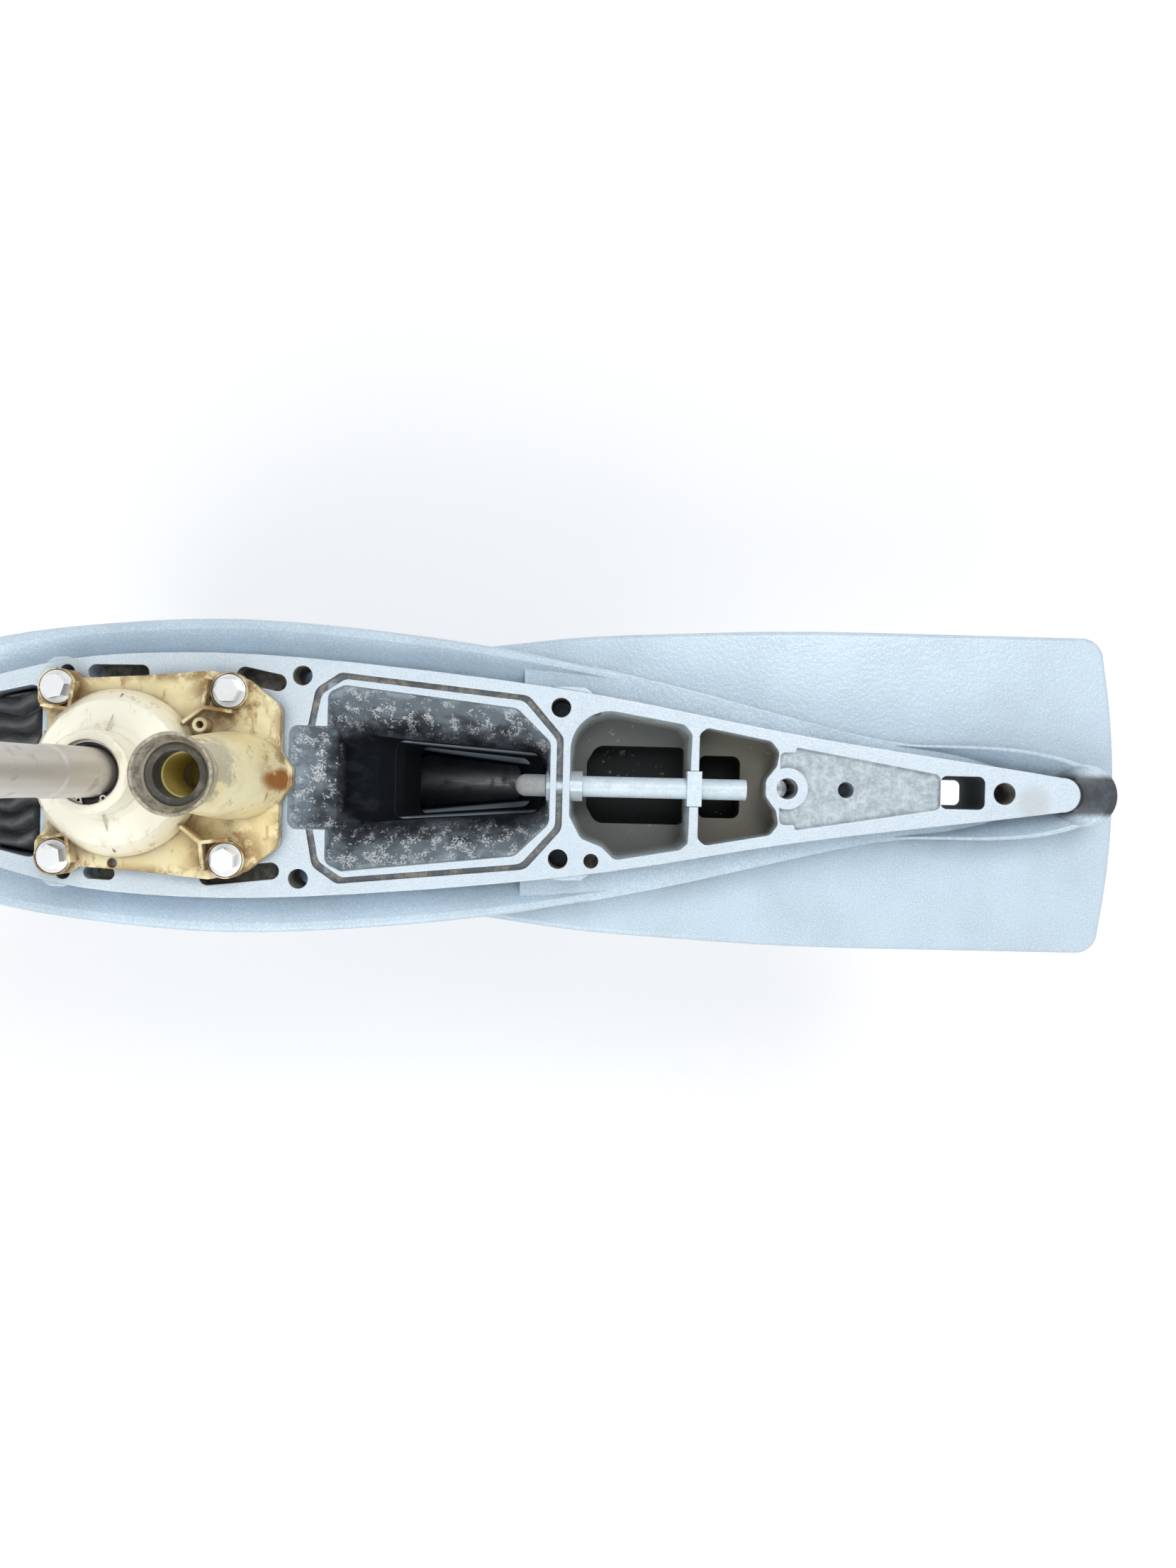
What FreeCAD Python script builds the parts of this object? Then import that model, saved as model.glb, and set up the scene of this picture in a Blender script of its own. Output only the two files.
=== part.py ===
import FreeCAD, Part
import math
import os
import Sketcher

# Outboard lower unit: gearcase, water pump, shafts, gears and clutch.
# Origin: driveshaft axis in the deck plane. +X aft, +Y starboard, +Z up.

Vector = FreeCAD.Vector
Placement = FreeCAD.Placement
Rotation = FreeCAD.Rotation
UP = Vector(0, 0, 1)
AFT = Vector(1, 0, 0)

# Driving sizes in millimetres, angles in degrees and counts.
SIZES = [
    ("seat_clearance", 0.05, "radial clearance of fixed seats and running fits"),
    ("rest_gap", 0.3, "gap between curved parts that lie against each other"),
    ("deck_nose", 158, "deck, driveshaft axis to nose"),
    ("deck_tail", 579, "deck, driveshaft axis to tail"),
    ("deck_half_width", 74.4, "deck, widest half width"),
    ("splash_nose", 218, "splash flange, axis to nose"),
    ("splash_tail", 612, "splash flange, axis to the end of its ridge"),
    ("splash_half_width", 98.2, "splash flange, widest half width"),
    ("splash_top", 21, "splash flange, top below the deck"),
    ("splash_thickness", 12, "splash flange, thickness"),
    ("valley_drop", 8, "valley beside the deck wall, depth below the rim"),
    ("plate_nose", 140, "anti-ventilation plate, axis to nose"),
    ("plate_end", 622.6, "anti-ventilation plate, axis to rear edge"),
    ("plate_half_width", 103.4, "anti-ventilation plate, widest half width"),
    ("plate_top", 52, "anti-ventilation plate, top below the deck"),
    ("plate_thickness", 8, "anti-ventilation plate, thickness"),
    ("plate_bow", 8, "bow of the plate's rear edge"),
    ("plate_corner", 14, "plate's rear corners, radius"),
    ("column_taper", 7, "how much the deck wall leans in at plate level"),
    ("leg_half_thickness", 40, "leg, half thickness below the plate"),
    ("prop_depth", 262, "propeller shaft axis below the deck"),
    ("torpedo_radius", 74, "torpedo, largest radius"),
    ("torpedo_nose", 205, "torpedo, axis to nose"),
    ("torpedo_end", 300, "torpedo, axis to rear face"),
    ("skeg_depth", 490, "skeg's lower edge below the deck"),
    ("skeg_half_thickness", 8, "skeg, half thickness at the torpedo"),
    ("bolt_hole_radius", 6, "deck bolt holes"),
    ("front_pair_x", -112, "front bolt pair, place"),
    ("front_pair_y", 32, "front bolt pair, half spacing"),
    ("middle_pair_x", 105.3, "middle bolt pair, place"),
    ("middle_pair_y", 61.7, "middle bolt pair, half spacing"),
    ("rear_pair_x", 262.7, "rear bolt pair, place"),
    ("rear_pair_y", 46, "rear bolt pair, half spacing"),
    ("boss_hole_x", 401, "tail boss hole, place"),
    ("boss_hole_radius", 6.4, "tail boss hole"),
    ("tail_hole_x", 533, "hole in the deck's tail, place"),
    ("tail_hole_radius", 6.7, "hole in the deck's tail"),
    ("dowel_x", 282.8, "dowel hole, place"),
    ("dowel_y", 46.8, "dowel hole, distance to port"),
    ("dowel_radius", 4.5, "dowel hole"),
    ("window_x", 507.5, "square through hole, middle"),
    ("window_half", 10.1, "square through hole, half width"),
    ("rod_x", 108, "shift rod, distance ahead of the driveshaft"),
    ("rod_radius", 6, "shift rod"),
    ("rod_top", 45, "shift rod, top above the deck"),
    ("rod_end_radius", 5.2, "shift rod, reduced upper end"),
    ("rod_end_length", 20, "shift rod, reduced upper end"),
    ("shift_throw", 7, "clutch dog's travel each way"),
    ("crank_pin_radius", 3, "shift rod's crank pin"),
    ("recess_depth", 28, "front recess"),
    ("shaft_radius", 14.25, "driveshaft at the pump and the journals"),
    ("shaft_upper_radius", 13.5, "driveshaft above the pump"),
    ("shaft_lower_radius", 13, "driveshaft below its upper bearing"),
    ("shaft_seat_radius", 16, "driveshaft, seat of the upper bearing"),
    ("shaft_top", 640, "driveshaft, top above the deck"),
    ("pilot_radius", 9, "driveshaft's plain upper end"),
    ("pilot_length", 15, "driveshaft's plain upper end"),
    ("carrier_radius", 39, "oil seal carrier, body"),
    ("carrier_flange", 46, "oil seal carrier, flange"),
    ("carrier_depth", 40, "oil seal carrier, height"),
    ("upper_bearing_radius", 37, "driveshaft's taper bearing, outside"),
    ("upper_bearing_top", 46, "driveshaft's taper bearing, top below the deck"),
    ("upper_bearing_height", 26, "driveshaft's taper bearing, height"),
    ("lower_bearing_radius", 21.5, "lower needle bearing, outside"),
    ("lower_bearing_top", 152, "lower needle bearing, top below the deck"),
    ("lower_bearing_height", 36, "lower needle bearing, height"),
    ("gear_module", 4.3, "bevel gears, module at the large end"),
    ("pinion_teeth", 15, "pinion, teeth"),
    ("gear_teeth", 26, "forward and reverse gear, teeth"),
    ("gear_face", 20, "bevel gears, face width"),
    ("gear_backlash", 0.32, "bevel gears, backlash at the large end"),
    ("hub_radius", 22, "gear hubs, outside"),
    ("gear_bore", 17, "gear hubs, bore"),
    ("gear_chamber", 59.8, "gear chamber, radius"),
    ("forward_bearing_radius", 42, "forward gear's taper bearing, outside"),
    ("forward_bearing_face", 54, "forward gear's taper bearing, rear face"),
    ("forward_bearing_width", 26, "forward gear's taper bearing, width"),
    ("spool_radius", 19, "shift slider's spool"),
    ("slider_radius", 5.6, "shift slider's neck and the plunger"),
    ("prop_front", 72, "propeller shaft, front end ahead of the driveshaft"),
    ("prop_front_radius", 13, "propeller shaft inside the forward gear"),
    ("prop_radius", 15, "propeller shaft at the clutch"),
    ("prop_rear_radius", 16, "propeller shaft, rear journal"),
    ("prop_end", 500, "propeller shaft, rear end"),
    ("prop_thread_radius", 10.8, "propeller shaft, thread outside"),
    ("dog_radius", 24.3, "clutch dog, outside"),
    ("dog_half_length", 9, "clutch dog, half length of its ring"),
    ("lug_height", 6, "clutch lugs, height"),
    ("lug_angle", 30, "clutch lugs, width"),
    ("lug_count", 3, "clutch lugs on a side"),
    ("forward_lug_phase", 19, "forward gear's lugs, turn at rest"),
    ("reverse_lug_phase", 22, "reverse gear's lugs, turn at rest"),
    ("carrier_front", 80, "bearing carrier, front face"),
    ("carrier_ring_width", 32, "bearing carrier, front ring"),
    ("carrier_ring_radius", 60.4, "bearing carrier, front ring"),
    ("carrier_tube_radius", 34, "bearing carrier, tube"),
    ("carrier_rear", 260, "bearing carrier, rear face"),
    ("ball_bearing_radius", 36, "reverse gear's ball bearing, outside"),
    ("ball_bearing_width", 20, "reverse gear's ball bearing, width"),
    ("rear_bearing_radius", 21, "propeller shaft's needle bearing, outside"),
    ("rear_seal_radius", 26, "propeller shaft's seals, outside"),
    ("ring_nut_radius", 61.8, "carrier's ring nut"),
    ("ring_nut_width", 12, "carrier's ring nut"),
    ("pump_gasket", 0.8, "pump base gasket, thickness"),
    ("wear_plate", 1.5, "pump wear plate, thickness"),
    ("flange_thickness", 7, "pump housing, flange"),
    ("dome_radius", 50, "pump housing, dome"),
    ("dome_top", 32, "pump housing, dome's top above the deck"),
    ("collar_radius", 23.5, "pump collar, outside"),
    ("collar_bore", 18.25, "pump collar, inside"),
    ("collar_top", 58, "pump collar, rim above the deck"),
    ("horn_x", 55.6, "water outlet horn, place"),
    ("horn_radius", 23, "water outlet horn, rim"),
    ("horn_bore", 17.5, "water outlet horn, mouth"),
    ("horn_top", 83, "water outlet horn, rim above the deck"),
    ("water_tube_radius", 13, "rubber seal's hole for the water tube"),
    ("horn_funnel", 9, "water outlet horn, depth of its funnel"),
    ("pump_bolt_front_x", -38, "front pump bolts, place"),
    ("pump_bolt_front_y", 50.6, "front pump bolts, half spacing"),
    ("pump_bolt_rear_x", 64.8, "rear pump bolts, place"),
    ("pump_bolt_rear_y", 50.4, "rear pump bolts, half spacing"),
    ("bracket_reach", 17, "walls round the pump bolts, corner from the bolt"),
    ("bracket_height", 10, "walls round the pump bolts, height above the flange"),
    ("pump_bolt_radius", 4, "pump bolts"),
    ("bolt_flats", 13, "pump bolts, across the flats"),
    ("bolt_head", 6.3, "pump bolts, head"),
    ("washer_radius", 10, "pump washers"),
    ("washer_thickness", 1.8, "pump washers"),
    ("cup_radius", 36.5, "pump insert cup, outside"),
    ("cup_height", 24, "pump insert cup, height"),
    ("impeller_height", 19, "impeller, height"),
    ("impeller_vanes", 6, "impeller, vanes"),
    ("tube_radius", 6.4, "crossing tube"),
    ("tube_depth", 9.5, "crossing tube's axis below the deck"),
    ("tube_y", -1.5, "crossing tube, sideways place"),
    ("tube_boss_radius", 9.3, "cast boss round the crossing tube"),
    ("tube_boss_front", 254.5, "cast boss round the crossing tube, front end"),
    ("tube_boss_rear", 276.7, "cast boss round the crossing tube, rear end"),
    ("tab_x", 437.2, "trim tab, pivot"),
    ("tab_radius", 24, "trim tab, round head"),
    ("tab_fin_depth", 135, "trim tab, lower edge below the deck"),
    ("tab_bolt_radius", 4.8, "trim tab, bolt"),
    ("plug_radius", 6, "oil plugs, thread"),
    ("plug_head_radius", 9.5, "oil plugs, head"),
    ("plug_gasket", 0.8, "oil plugs, gasket"),
    ("drain_x", -92, "drain plug, place"),
    ("drain_depth", 300, "drain plug below the deck"),
    ("drain_seat", 56, "drain plug, seat from the centre plane"),
    ("level_x", -58, "level plug, place"),
    ("level_depth", 84, "level plug below the deck"),
    ("level_seat", 31, "level plug, seat from the centre plane"),
    ("screen_x", -52, "water inlet screens, middle"),
    ("screen_depth", 143, "water inlet screens, middle below the deck"),
    ("screen_seat", 28.5, "water inlet screens, distance from the centre plane"),
    ("screen_width", 46, "water inlet screens, width"),
    ("screen_height", 52, "water inlet screens, height"),
    ("screen_thickness", 4, "water inlet screens, thickness"),
    ("screen_tilt", 12, "water inlet screens, tilt with the leg's side"),
]

doc = FreeCAD.newDocument("OutboardLowerUnit")
sheet = doc.addObject("Spreadsheet::Sheet", "Sizes")
for row, (name, value, meaning) in enumerate(SIZES, start=1):
    sheet.set(f"A{row}", meaning)
    sheet.set(f"B{row}", str(value))
    sheet.setAlias(f"B{row}", name)
doc.recompute()


class Bound:
    """A size with the formula that binds it to the sheet."""

    def __init__(self, value, formula):
        self.value = value
        self.formula = formula

    def _with(self, other, sign, result):
        return Bound(result, f"({self.formula} {sign} {formula_of(other)})")

    def __add__(self, other):
        return self._with(other, "+", self.value + value_of(other))

    def __sub__(self, other):
        return self._with(other, "-", self.value - value_of(other))

    def __mul__(self, other):
        return self._with(other, "*", self.value * value_of(other))

    def __truediv__(self, other):
        return self._with(other, "/", self.value / value_of(other))

    def __radd__(self, number):
        return Bound(number + self.value, f"({number:.6f} + {self.formula})")

    def __rsub__(self, number):
        return Bound(number - self.value, f"({number:.6f} - {self.formula})")

    def __neg__(self):
        return 0 - self


def value_of(size):
    return size.value if isinstance(size, Bound) else float(size)


def formula_of(size):
    return size.formula if isinstance(size, Bound) else f"{float(size):.6f}"


class Sizes:
    """Numbers of the sheet, by name."""

    def __getattr__(self, name):
        return float(sheet.get(name))


class BoundSizes:
    """Sizes of the sheet that keep their formulas, by name."""

    def __getattr__(self, name):
        return Bound(float(sheet.get(name)), f"Sizes.{name}")


mm = Sizes()
size = BoundSizes()
nodes = []


def keep(item, label, placement=None):
    """Names a finished sub-part and remembers it for export."""
    item.Label = label
    if placement is not None:
        item.Placement = placement
    nodes.append(item)
    return item


def feature(label, shape, placement=None):
    """A sub-part whose form is worked out by functions below."""
    item = doc.addObject("Part::Feature", label)
    item.Shape = shape
    return keep(item, label, placement)


def on_prop_axis():
    """Turns a body made about its Z axis onto the propeller shaft, nose to tail."""
    return Placement(Vector(0, 0, -mm.prop_depth), Rotation(Vector(0, 1, 0), 90))


def new_body(label):
    return doc.addObject("PartDesign::Body", label)


def origin_part(body, role):
    return [item for item in body.Origin.OriginFeatures if item.Role == role][0]


def sketch_in(body, role, height=0.0):
    sketch = body.newObject("Sketcher::SketchObject", "Sketch")
    sketch.AttachmentSupport = [(origin_part(body, role), "")]
    sketch.MapMode = "FlatFace"
    if isinstance(height, Bound):
        sketch.setExpression("AttachmentOffset.Base.z", height.formula)
        height = height.value
    sketch.AttachmentOffset = Placement(Vector(0, 0, height), Rotation())
    return sketch


def pin_point(sketch, line, corner):
    """Binds the start of a line to its place."""
    axes = (("DistanceX", -2), ("DistanceY", -1))
    for place, (kind, axis) in zip(corner, axes):
        if value_of(place) == 0:
            sketch.addConstraint(Sketcher.Constraint("PointOnObject", line, 1, axis))
            continue
        index = sketch.addConstraint(Sketcher.Constraint(kind, -1, 1, line, 1, value_of(place)))
        if isinstance(place, Bound):
            sketch.setExpression(f"Constraints[{index}]", place.formula)


def draw_polygon(sketch, corners):
    points = [Vector(value_of(x), value_of(y), 0) for x, y in corners]
    lines = []
    for start, end in zip(points, points[1:] + points[:1]):
        lines.append(sketch.addGeometry(Part.LineSegment(start, end)))
    for line, following in zip(lines, lines[1:] + lines[:1]):
        sketch.addConstraint(Sketcher.Constraint("Coincident", line, 2, following, 1))
    for line, corner in zip(lines, corners):
        pin_point(sketch, line, corner)


def draw_circle(sketch, x, y, radius):
    circle = Part.Circle(Vector(value_of(x), value_of(y), 0), UP, value_of(radius))
    ring = sketch.addGeometry(circle)
    index = sketch.addConstraint(Sketcher.Constraint("Radius", ring, value_of(radius)))
    if isinstance(radius, Bound):
        sketch.setExpression(f"Constraints[{index}]", radius.formula)
    for place, kind, axis in ((x, "DistanceX", -2), (y, "DistanceY", -1)):
        if value_of(place) == 0:
            sketch.addConstraint(Sketcher.Constraint("PointOnObject", ring, 3, axis))
            continue
        index = sketch.addConstraint(Sketcher.Constraint(kind, -1, 1, ring, 3, value_of(place)))
        if isinstance(place, Bound):
            sketch.setExpression(f"Constraints[{index}]", place.formula)


def revolved(label, corners):
    """A body turned about Z from corners of (radius, height)."""
    body = new_body(label)
    sketch = sketch_in(body, "XZ_Plane")
    draw_polygon(sketch, corners)
    turn = body.newObject("PartDesign::Revolution", "Turned")
    turn.Profile = sketch
    turn.ReferenceAxis = (sketch, ["V_Axis"])
    turn.Angle = 360
    doc.recompute()
    return body


def turned(label, corners, placement=None):
    return keep(revolved(label, corners), label, placement)


def ring(label, inner, outer, low, high, placement=None):
    corners = [(inner, low), (outer, low), (outer, high), (inner, high)]
    return turned(label, corners, placement)


def pad(body, sketch, length):
    grown = body.newObject("PartDesign::Pad", "Pad")
    grown.Profile = sketch
    grown.Length = value_of(length)
    if isinstance(length, Bound):
        grown.setExpression("Length", length.formula)
    return grown


def pocket(body, sketch, length, reverse=False, midplane=False):
    """Cuts a sketch into a body and makes sure that it removed material."""
    doc.recompute()
    before = body.Shape.Volume
    cut = body.newObject("PartDesign::Pocket", "Pocket")
    cut.Profile = sketch
    cut.Length = value_of(length)
    if isinstance(length, Bound):
        cut.setExpression("Length", length.formula)
    cut.Reversed = reverse
    cut.Midplane = midplane
    doc.recompute()
    if body.Shape.Volume > before - 0.01:
        raise RuntimeError(f"{body.Label}: the pocket removed nothing")
    return cut


def repeated(body, original, count):
    pattern = body.newObject("PartDesign::PolarPattern", "Repeated")
    pattern.Originals = [original]
    pattern.Axis = (origin_part(body, "Z_Axis"), [""])
    pattern.Angle = 360
    pattern.Occurrences = int(count)
    body.Tip = pattern
    doc.recompute()
    return pattern


def hexagon(flats):
    """Corners of a hexagon, a size across its flats."""
    corners = []
    for step in range(6):
        angle = math.radians(60 * step)
        reach = 1 / math.sqrt(3)
        corners.append((flats * (reach * math.cos(angle)), flats * (reach * math.sin(angle))))
    return corners


def copies(shape, placements):
    """A group of separate solids, one at each placement."""
    solids = []
    for placement in placements:
        solid = shape.copy()
        solid.Placement = placement.multiply(solid.Placement)
        solids.append(solid)
    return Part.makeCompound(solids)


def cylinder(radius, low, high, x=0.0, y=0.0):
    return Part.makeCylinder(radius, high - low, Vector(x, y, low), UP)


def along_x(radius, start, end, y=0.0, z=0.0):
    return Part.makeCylinder(radius, end - start, Vector(start, y, z), AFT)


def tube(inner, outer, low, high):
    return cylinder(outer, low, high).cut(cylinder(inner, low - 1, high + 1))


def box(low, high):
    return Part.makeBox(high[0] - low[0], high[1] - low[1], high[2] - low[2], Vector(*low))


def rounded_wire(corners, z):
    """A closed outline in a level plane from corners of (x, y, corner radius)."""
    edges = []
    count = len(corners)
    ends = []
    for index, (x, y, radius) in enumerate(corners):
        here = Vector(x, y, z)
        before = Vector(corners[index - 1][0], corners[index - 1][1], z) - here
        after = Vector(*corners[(index + 1) % count][:2], z) - here
        half = before.getAngle(after) / 2
        setback = radius / math.tan(half)
        setback = min(setback, 0.45 * before.Length, 0.45 * after.Length)
        bisector = (before.normalize() + after.normalize()).normalize()
        reach = setback / math.cos(half) - setback * math.tan(half)
        ends.append((here + before * setback, here + bisector * reach, here + after * setback))
    for index, (start, middle, end) in enumerate(ends):
        edges.append(Part.Arc(start, middle, end).toShape())
        edges.append(Part.makeLine(end, ends[(index + 1) % count][0]))
    return Part.Wire(edges)


def mirrored(corners):
    """Adds the port side to a starboard row of corners that runs aft."""
    port = [(x, -y, radius) for x, y, radius in reversed(corners)]
    return corners + port


def prism(corners, low, high):
    face = Part.Face(rounded_wire(corners, low))
    return face.extrude(Vector(0, 0, high - low))


def solid_from_rings(rings):
    """A solid between two like rings of points, with flat sides."""
    first, last = rings
    faces = [Part.Face(Part.makePolygon(first + first[:1])), Part.Face(Part.makePolygon(last + last[:1]))]
    for index in range(len(first)):
        following = (index + 1) % len(first)
        corners = [first[index], first[following], last[following], last[index]]
        faces.append(Part.Face(Part.makePolygon(corners + corners[:1])))
    solid = Part.Solid(Part.Shell(faces))
    if solid.Volume < 0:
        solid.reverse()
    return solid


# Gearcase casting

DECK_FORM = [(0.0176, 0.35), (0.0516, 0.582), (0.1103, 0.792), (0.1687, 0.927), (0.227, 0.985), (0.297, 1.0),
             (0.402, 0.945), (0.5187, 0.835), (0.6354, 0.676), (0.7404, 0.485), (0.8454, 0.329),
             (0.9505, 0.191), (0.985, 0.141)]
SPLASH_FORM = [(0.0157, 0.305), (0.0458, 0.51), (0.106, 0.736), (0.1569, 0.857), (0.2317, 0.95),
               (0.3277, 1.0), (0.424, 0.959), (0.5308, 0.855), (0.6057, 0.742), (0.6698, 0.625),
               (0.7337, 0.492), (0.7872, 0.382), (0.829, 0.316), (0.895, 0.302), (0.9735, 0.2)]
PLATE_FORM = [(0.0197, 0.213), (0.105, 0.464), (0.262, 0.677), (0.393, 0.788), (0.475, 0.85), (0.557, 0.924),
              (0.629, 0.957), (0.715, 0.987), (0.837, 0.998), (1.0, 0.994)]
LEG_FORM = [(0.02, 0.27), (0.07, 0.5), (0.15, 0.74), (0.28, 0.95), (0.4, 1.0), (0.55, 0.93),
            (0.7, 0.72), (0.85, 0.42), (0.97, 0.12)]


def side_points(form, nose, tail, half_width, z):
    """Starboard points of an outline, from fractions of its length and half width."""
    first_along, first_across = form[0]
    rounding = (first_along / 4, first_across / 2)
    points = [Vector(nose, 0, z)]
    for along, across in [rounding] + form:
        points.append(Vector(nose + along * (tail - nose), across * half_width, z))
    return points


def side_curves(points):
    """The starboard curve from nose to tail, and the port curve back to the nose."""
    flipped = [Vector(point.x, -point.y, point.z) for point in reversed(points)]
    curves = []
    for row in (points, flipped):
        curve = Part.BSplineCurve()
        curve.interpolate(Points=row)
        curves.append(curve.toShape())
    return curves


def outline(form, nose, tail, half_width, z):
    """Closed outline, round at the nose, with a small round end at the tail."""
    points = side_points(form, nose, tail, half_width, z)
    starboard, port = side_curves(points)
    last = points[-1]
    end = Part.Arc(last, Vector(tail, 0, z), Vector(last.x, -last.y, z)).toShape()
    return Part.Wire([starboard, end, port])


def loft(wires, ruled):
    return Part.makeLoft(wires, True, ruled)


def deck_outline(z, inset):
    return outline(DECK_FORM, inset - mm.deck_nose, mm.deck_tail - inset, mm.deck_half_width - inset, z)


def splash_outline(z, inset):
    nose = inset - mm.splash_nose
    return outline(SPLASH_FORM, nose, mm.splash_tail - inset, mm.splash_half_width - inset, z)


def plate_bottom():
    return -mm.plate_top - mm.plate_thickness


def deck_column():
    """The wall below the deck, leaning in towards the plate."""
    low = -mm.plate_top - mm.plate_thickness / 2
    inset = mm.column_taper
    return loft([deck_outline(0, 0), deck_outline(low / 2, 0.36 * inset), deck_outline(low, inset)], False)


def slab(level_outline, low, high, edge):
    """A plate between two heights, its rims rounded off in two steps."""
    steps = [(low, edge), (low + 0.3 * edge, 0.3 * edge), (low + edge, 0), (high - edge, 0),
             (high - 0.3 * edge, 0.3 * edge), (high, edge)]
    return loft([level_outline(z, inset) for z, inset in steps], True)


def splash_flange():
    """Wide flange with a valley that falls towards the deck wall."""
    plate = slab(splash_outline, -mm.splash_top - mm.splash_thickness, -mm.splash_top, 2.5)
    rim = splash_outline(0.05 - mm.splash_top, 6)
    floor = deck_outline(-mm.splash_top - mm.valley_drop, -2)
    return plate.cut(loft([rim, floor], True))


def tail_fairing():
    """Ridge that carries the flange's outline down to the plate's end."""
    body = Part.Face(splash_outline(-mm.plate_top - 4, 0)).extrude(Vector(0, 0, mm.plate_top + 4 - mm.splash_top))
    start = 0.39 * mm.splash_tail
    knee = 0.77 * mm.splash_tail
    side = [(start, -60), (start, -mm.splash_top - 3), (start + 60, -mm.splash_top), (knee, -mm.splash_top),
            (0.875 * mm.splash_tail, -mm.splash_top - 7), (mm.splash_tail + 2, -mm.plate_top + 2),
            (mm.splash_tail + 2, -60)]
    points = [Vector(x, -150, z) for x, z in side]
    profile = Part.Face(Part.makePolygon(points + points[:1])).extrude(Vector(0, 300, 0))
    return body.common(profile)


def plate_outline(z, inset):
    """Outline with round rear corners and a bowed rear edge."""
    tail = mm.plate_end - mm.plate_bow - mm.plate_corner
    corner = mm.plate_corner - inset
    points = side_points(PLATE_FORM, inset - mm.plate_nose, tail, mm.plate_half_width - inset, z)
    side = points[-1].y
    lift = corner * (1 - math.sqrt(0.5))
    end = Vector(points[-1].x + corner, side - corner, z)
    middle = Vector(end.x - lift, side - lift, z)
    starboard, port = side_curves(points)
    rear = Vector(mm.plate_end - inset, 0, z)
    far_end = Vector(end.x, -end.y, z)
    far_middle = Vector(middle.x, -middle.y, z)
    far_start = Vector(points[-1].x, -side, z)
    return Part.Wire([starboard, Part.Arc(points[-1], middle, end).toShape(),
                      Part.Arc(end, rear, far_end).toShape(),
                      Part.Arc(far_end, far_middle, far_start).toShape(), port])


def ventilation_plate():
    """Wide plate above the propeller."""
    return slab(plate_outline, plate_bottom(), -mm.plate_top, 2.8)


def leg_section(z):
    """Nose, tail and half thickness of the leg at a height."""
    top = plate_bottom() + 4
    fall = (top - z) / (mm.prop_depth + top)
    nose = -148 + 32 * fall
    tail = 345 - 62 * fall ** 0.7
    thick = mm.leg_half_thickness * (1.22 - 0.48 * fall ** 0.6)
    return nose, tail, thick


def leg():
    top = plate_bottom() + 4
    sections = []
    for share in (0, 0.2, 0.55, 1):
        z = top - share * (mm.prop_depth + top)
        sections.append(outline(LEG_FORM, *leg_section(z), z))
    return loft(sections, False)


def torpedo():
    """Round gear housing about the propeller shaft."""
    radius = mm.torpedo_radius
    nose = -mm.torpedo_nose
    form = [(0, 0), (0.05, 0.34), (0.15, 0.62), (0.36, 0.87), (0.64, 0.985), (0.85, 1.0)]
    reach = mm.torpedo_nose - 20
    points = [Vector(nose + along * reach, 0, across * radius) for along, across in form]
    curve = Part.BSplineCurve()
    curve.interpolate(Points=points, InitialTangent=UP, FinalTangent=AFT)
    end = mm.torpedo_end
    rear = Part.BSplineCurve()
    row = [points[-1], Vector(0.35 * end, 0, radius), Vector(0.72 * end, 0, 0.985 * radius),
           Vector(end, 0, 0.93 * radius)]
    rear.interpolate(Points=row, InitialTangent=AFT)
    last = Part.makeLine(row[-1], Vector(end, 0, 0))
    axis = Part.makeLine(Vector(end, 0, 0), Vector(nose, 0, 0))
    face = Part.Face(Part.Wire([curve.toShape(), rear.toShape(), last, axis]))
    solid = face.revolve(Vector(0, 0, 0), AFT, 360)
    solid.translate(Vector(0, 0, -mm.prop_depth))
    return solid


def skeg():
    """Swept fin below the torpedo."""
    top = -mm.prop_depth - 0.7 * mm.torpedo_radius
    low = -mm.skeg_depth
    half = mm.skeg_half_thickness
    sections = []
    for share, nose, tail, thick in ((0, -92, 278, half), (0.5, 26, 274, 0.72 * half), (1, 150, 262, 0.42 * half)):
        z = top + share * (low - top)
        sections.append(outline(LEG_FORM, nose, tail, thick, z))
    return loft(sections, True)


def tail_slope():
    """Hollow slope from the deck's tail down to the plate's rear edge."""
    wires = []
    for z, tail, half in ((-1.5, 578.5, 9.6), (-22, 589, 9.2), (-42, 603, 8.6), (-mm.plate_top - 2, 618, 8)):
        wires.append(rounded_wire(mirrored([(540, half, 3), (tail, half, 0.93 * half)]), z))
    return loft(wires, True)


def cast_pads():
    """Small lugs that stand out of the deck wall near its upper edge."""
    front = [(-53, 58, 2), (-51, 66, 1), (-46, 69.6, 2), (-38, 70, 2), (-32, 68, 1), (-34, 58, 2)]
    rear = [(250, 50, 2), (254, 58.2, 1), (266, 59, 2), (277, 58.6, 2), (282, 55, 1), (280, 48, 2)]
    pads = []
    for corners in (front, rear):
        pads.append(prism(corners, -14, -0.8))
        pads.append(prism([(x, -y, radius) for x, y, radius in reversed(corners)], -14, -0.8))
    return pads


# The exhaust cavity's levels: height, then starboard corners of (x, y, corner radius).
EXHAUST_BOWL = [
    (1, [(121, 52, 6), (131, 56.8, 5), (236, 45.2, 8), (257, 25, 8)]),
    (-6, [(121, 51, 6), (131, 55.8, 5), (236, 44.2, 8), (256.6, 24.5, 8)]),
    (-24, [(122, 36, 8), (133, 39, 8), (240, 31, 8), (254.5, 19, 6)]),
    (-42, [(126, 20, 8), (138, 21, 8), (246, 16, 6), (252.5, 11, 5)])]
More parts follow.
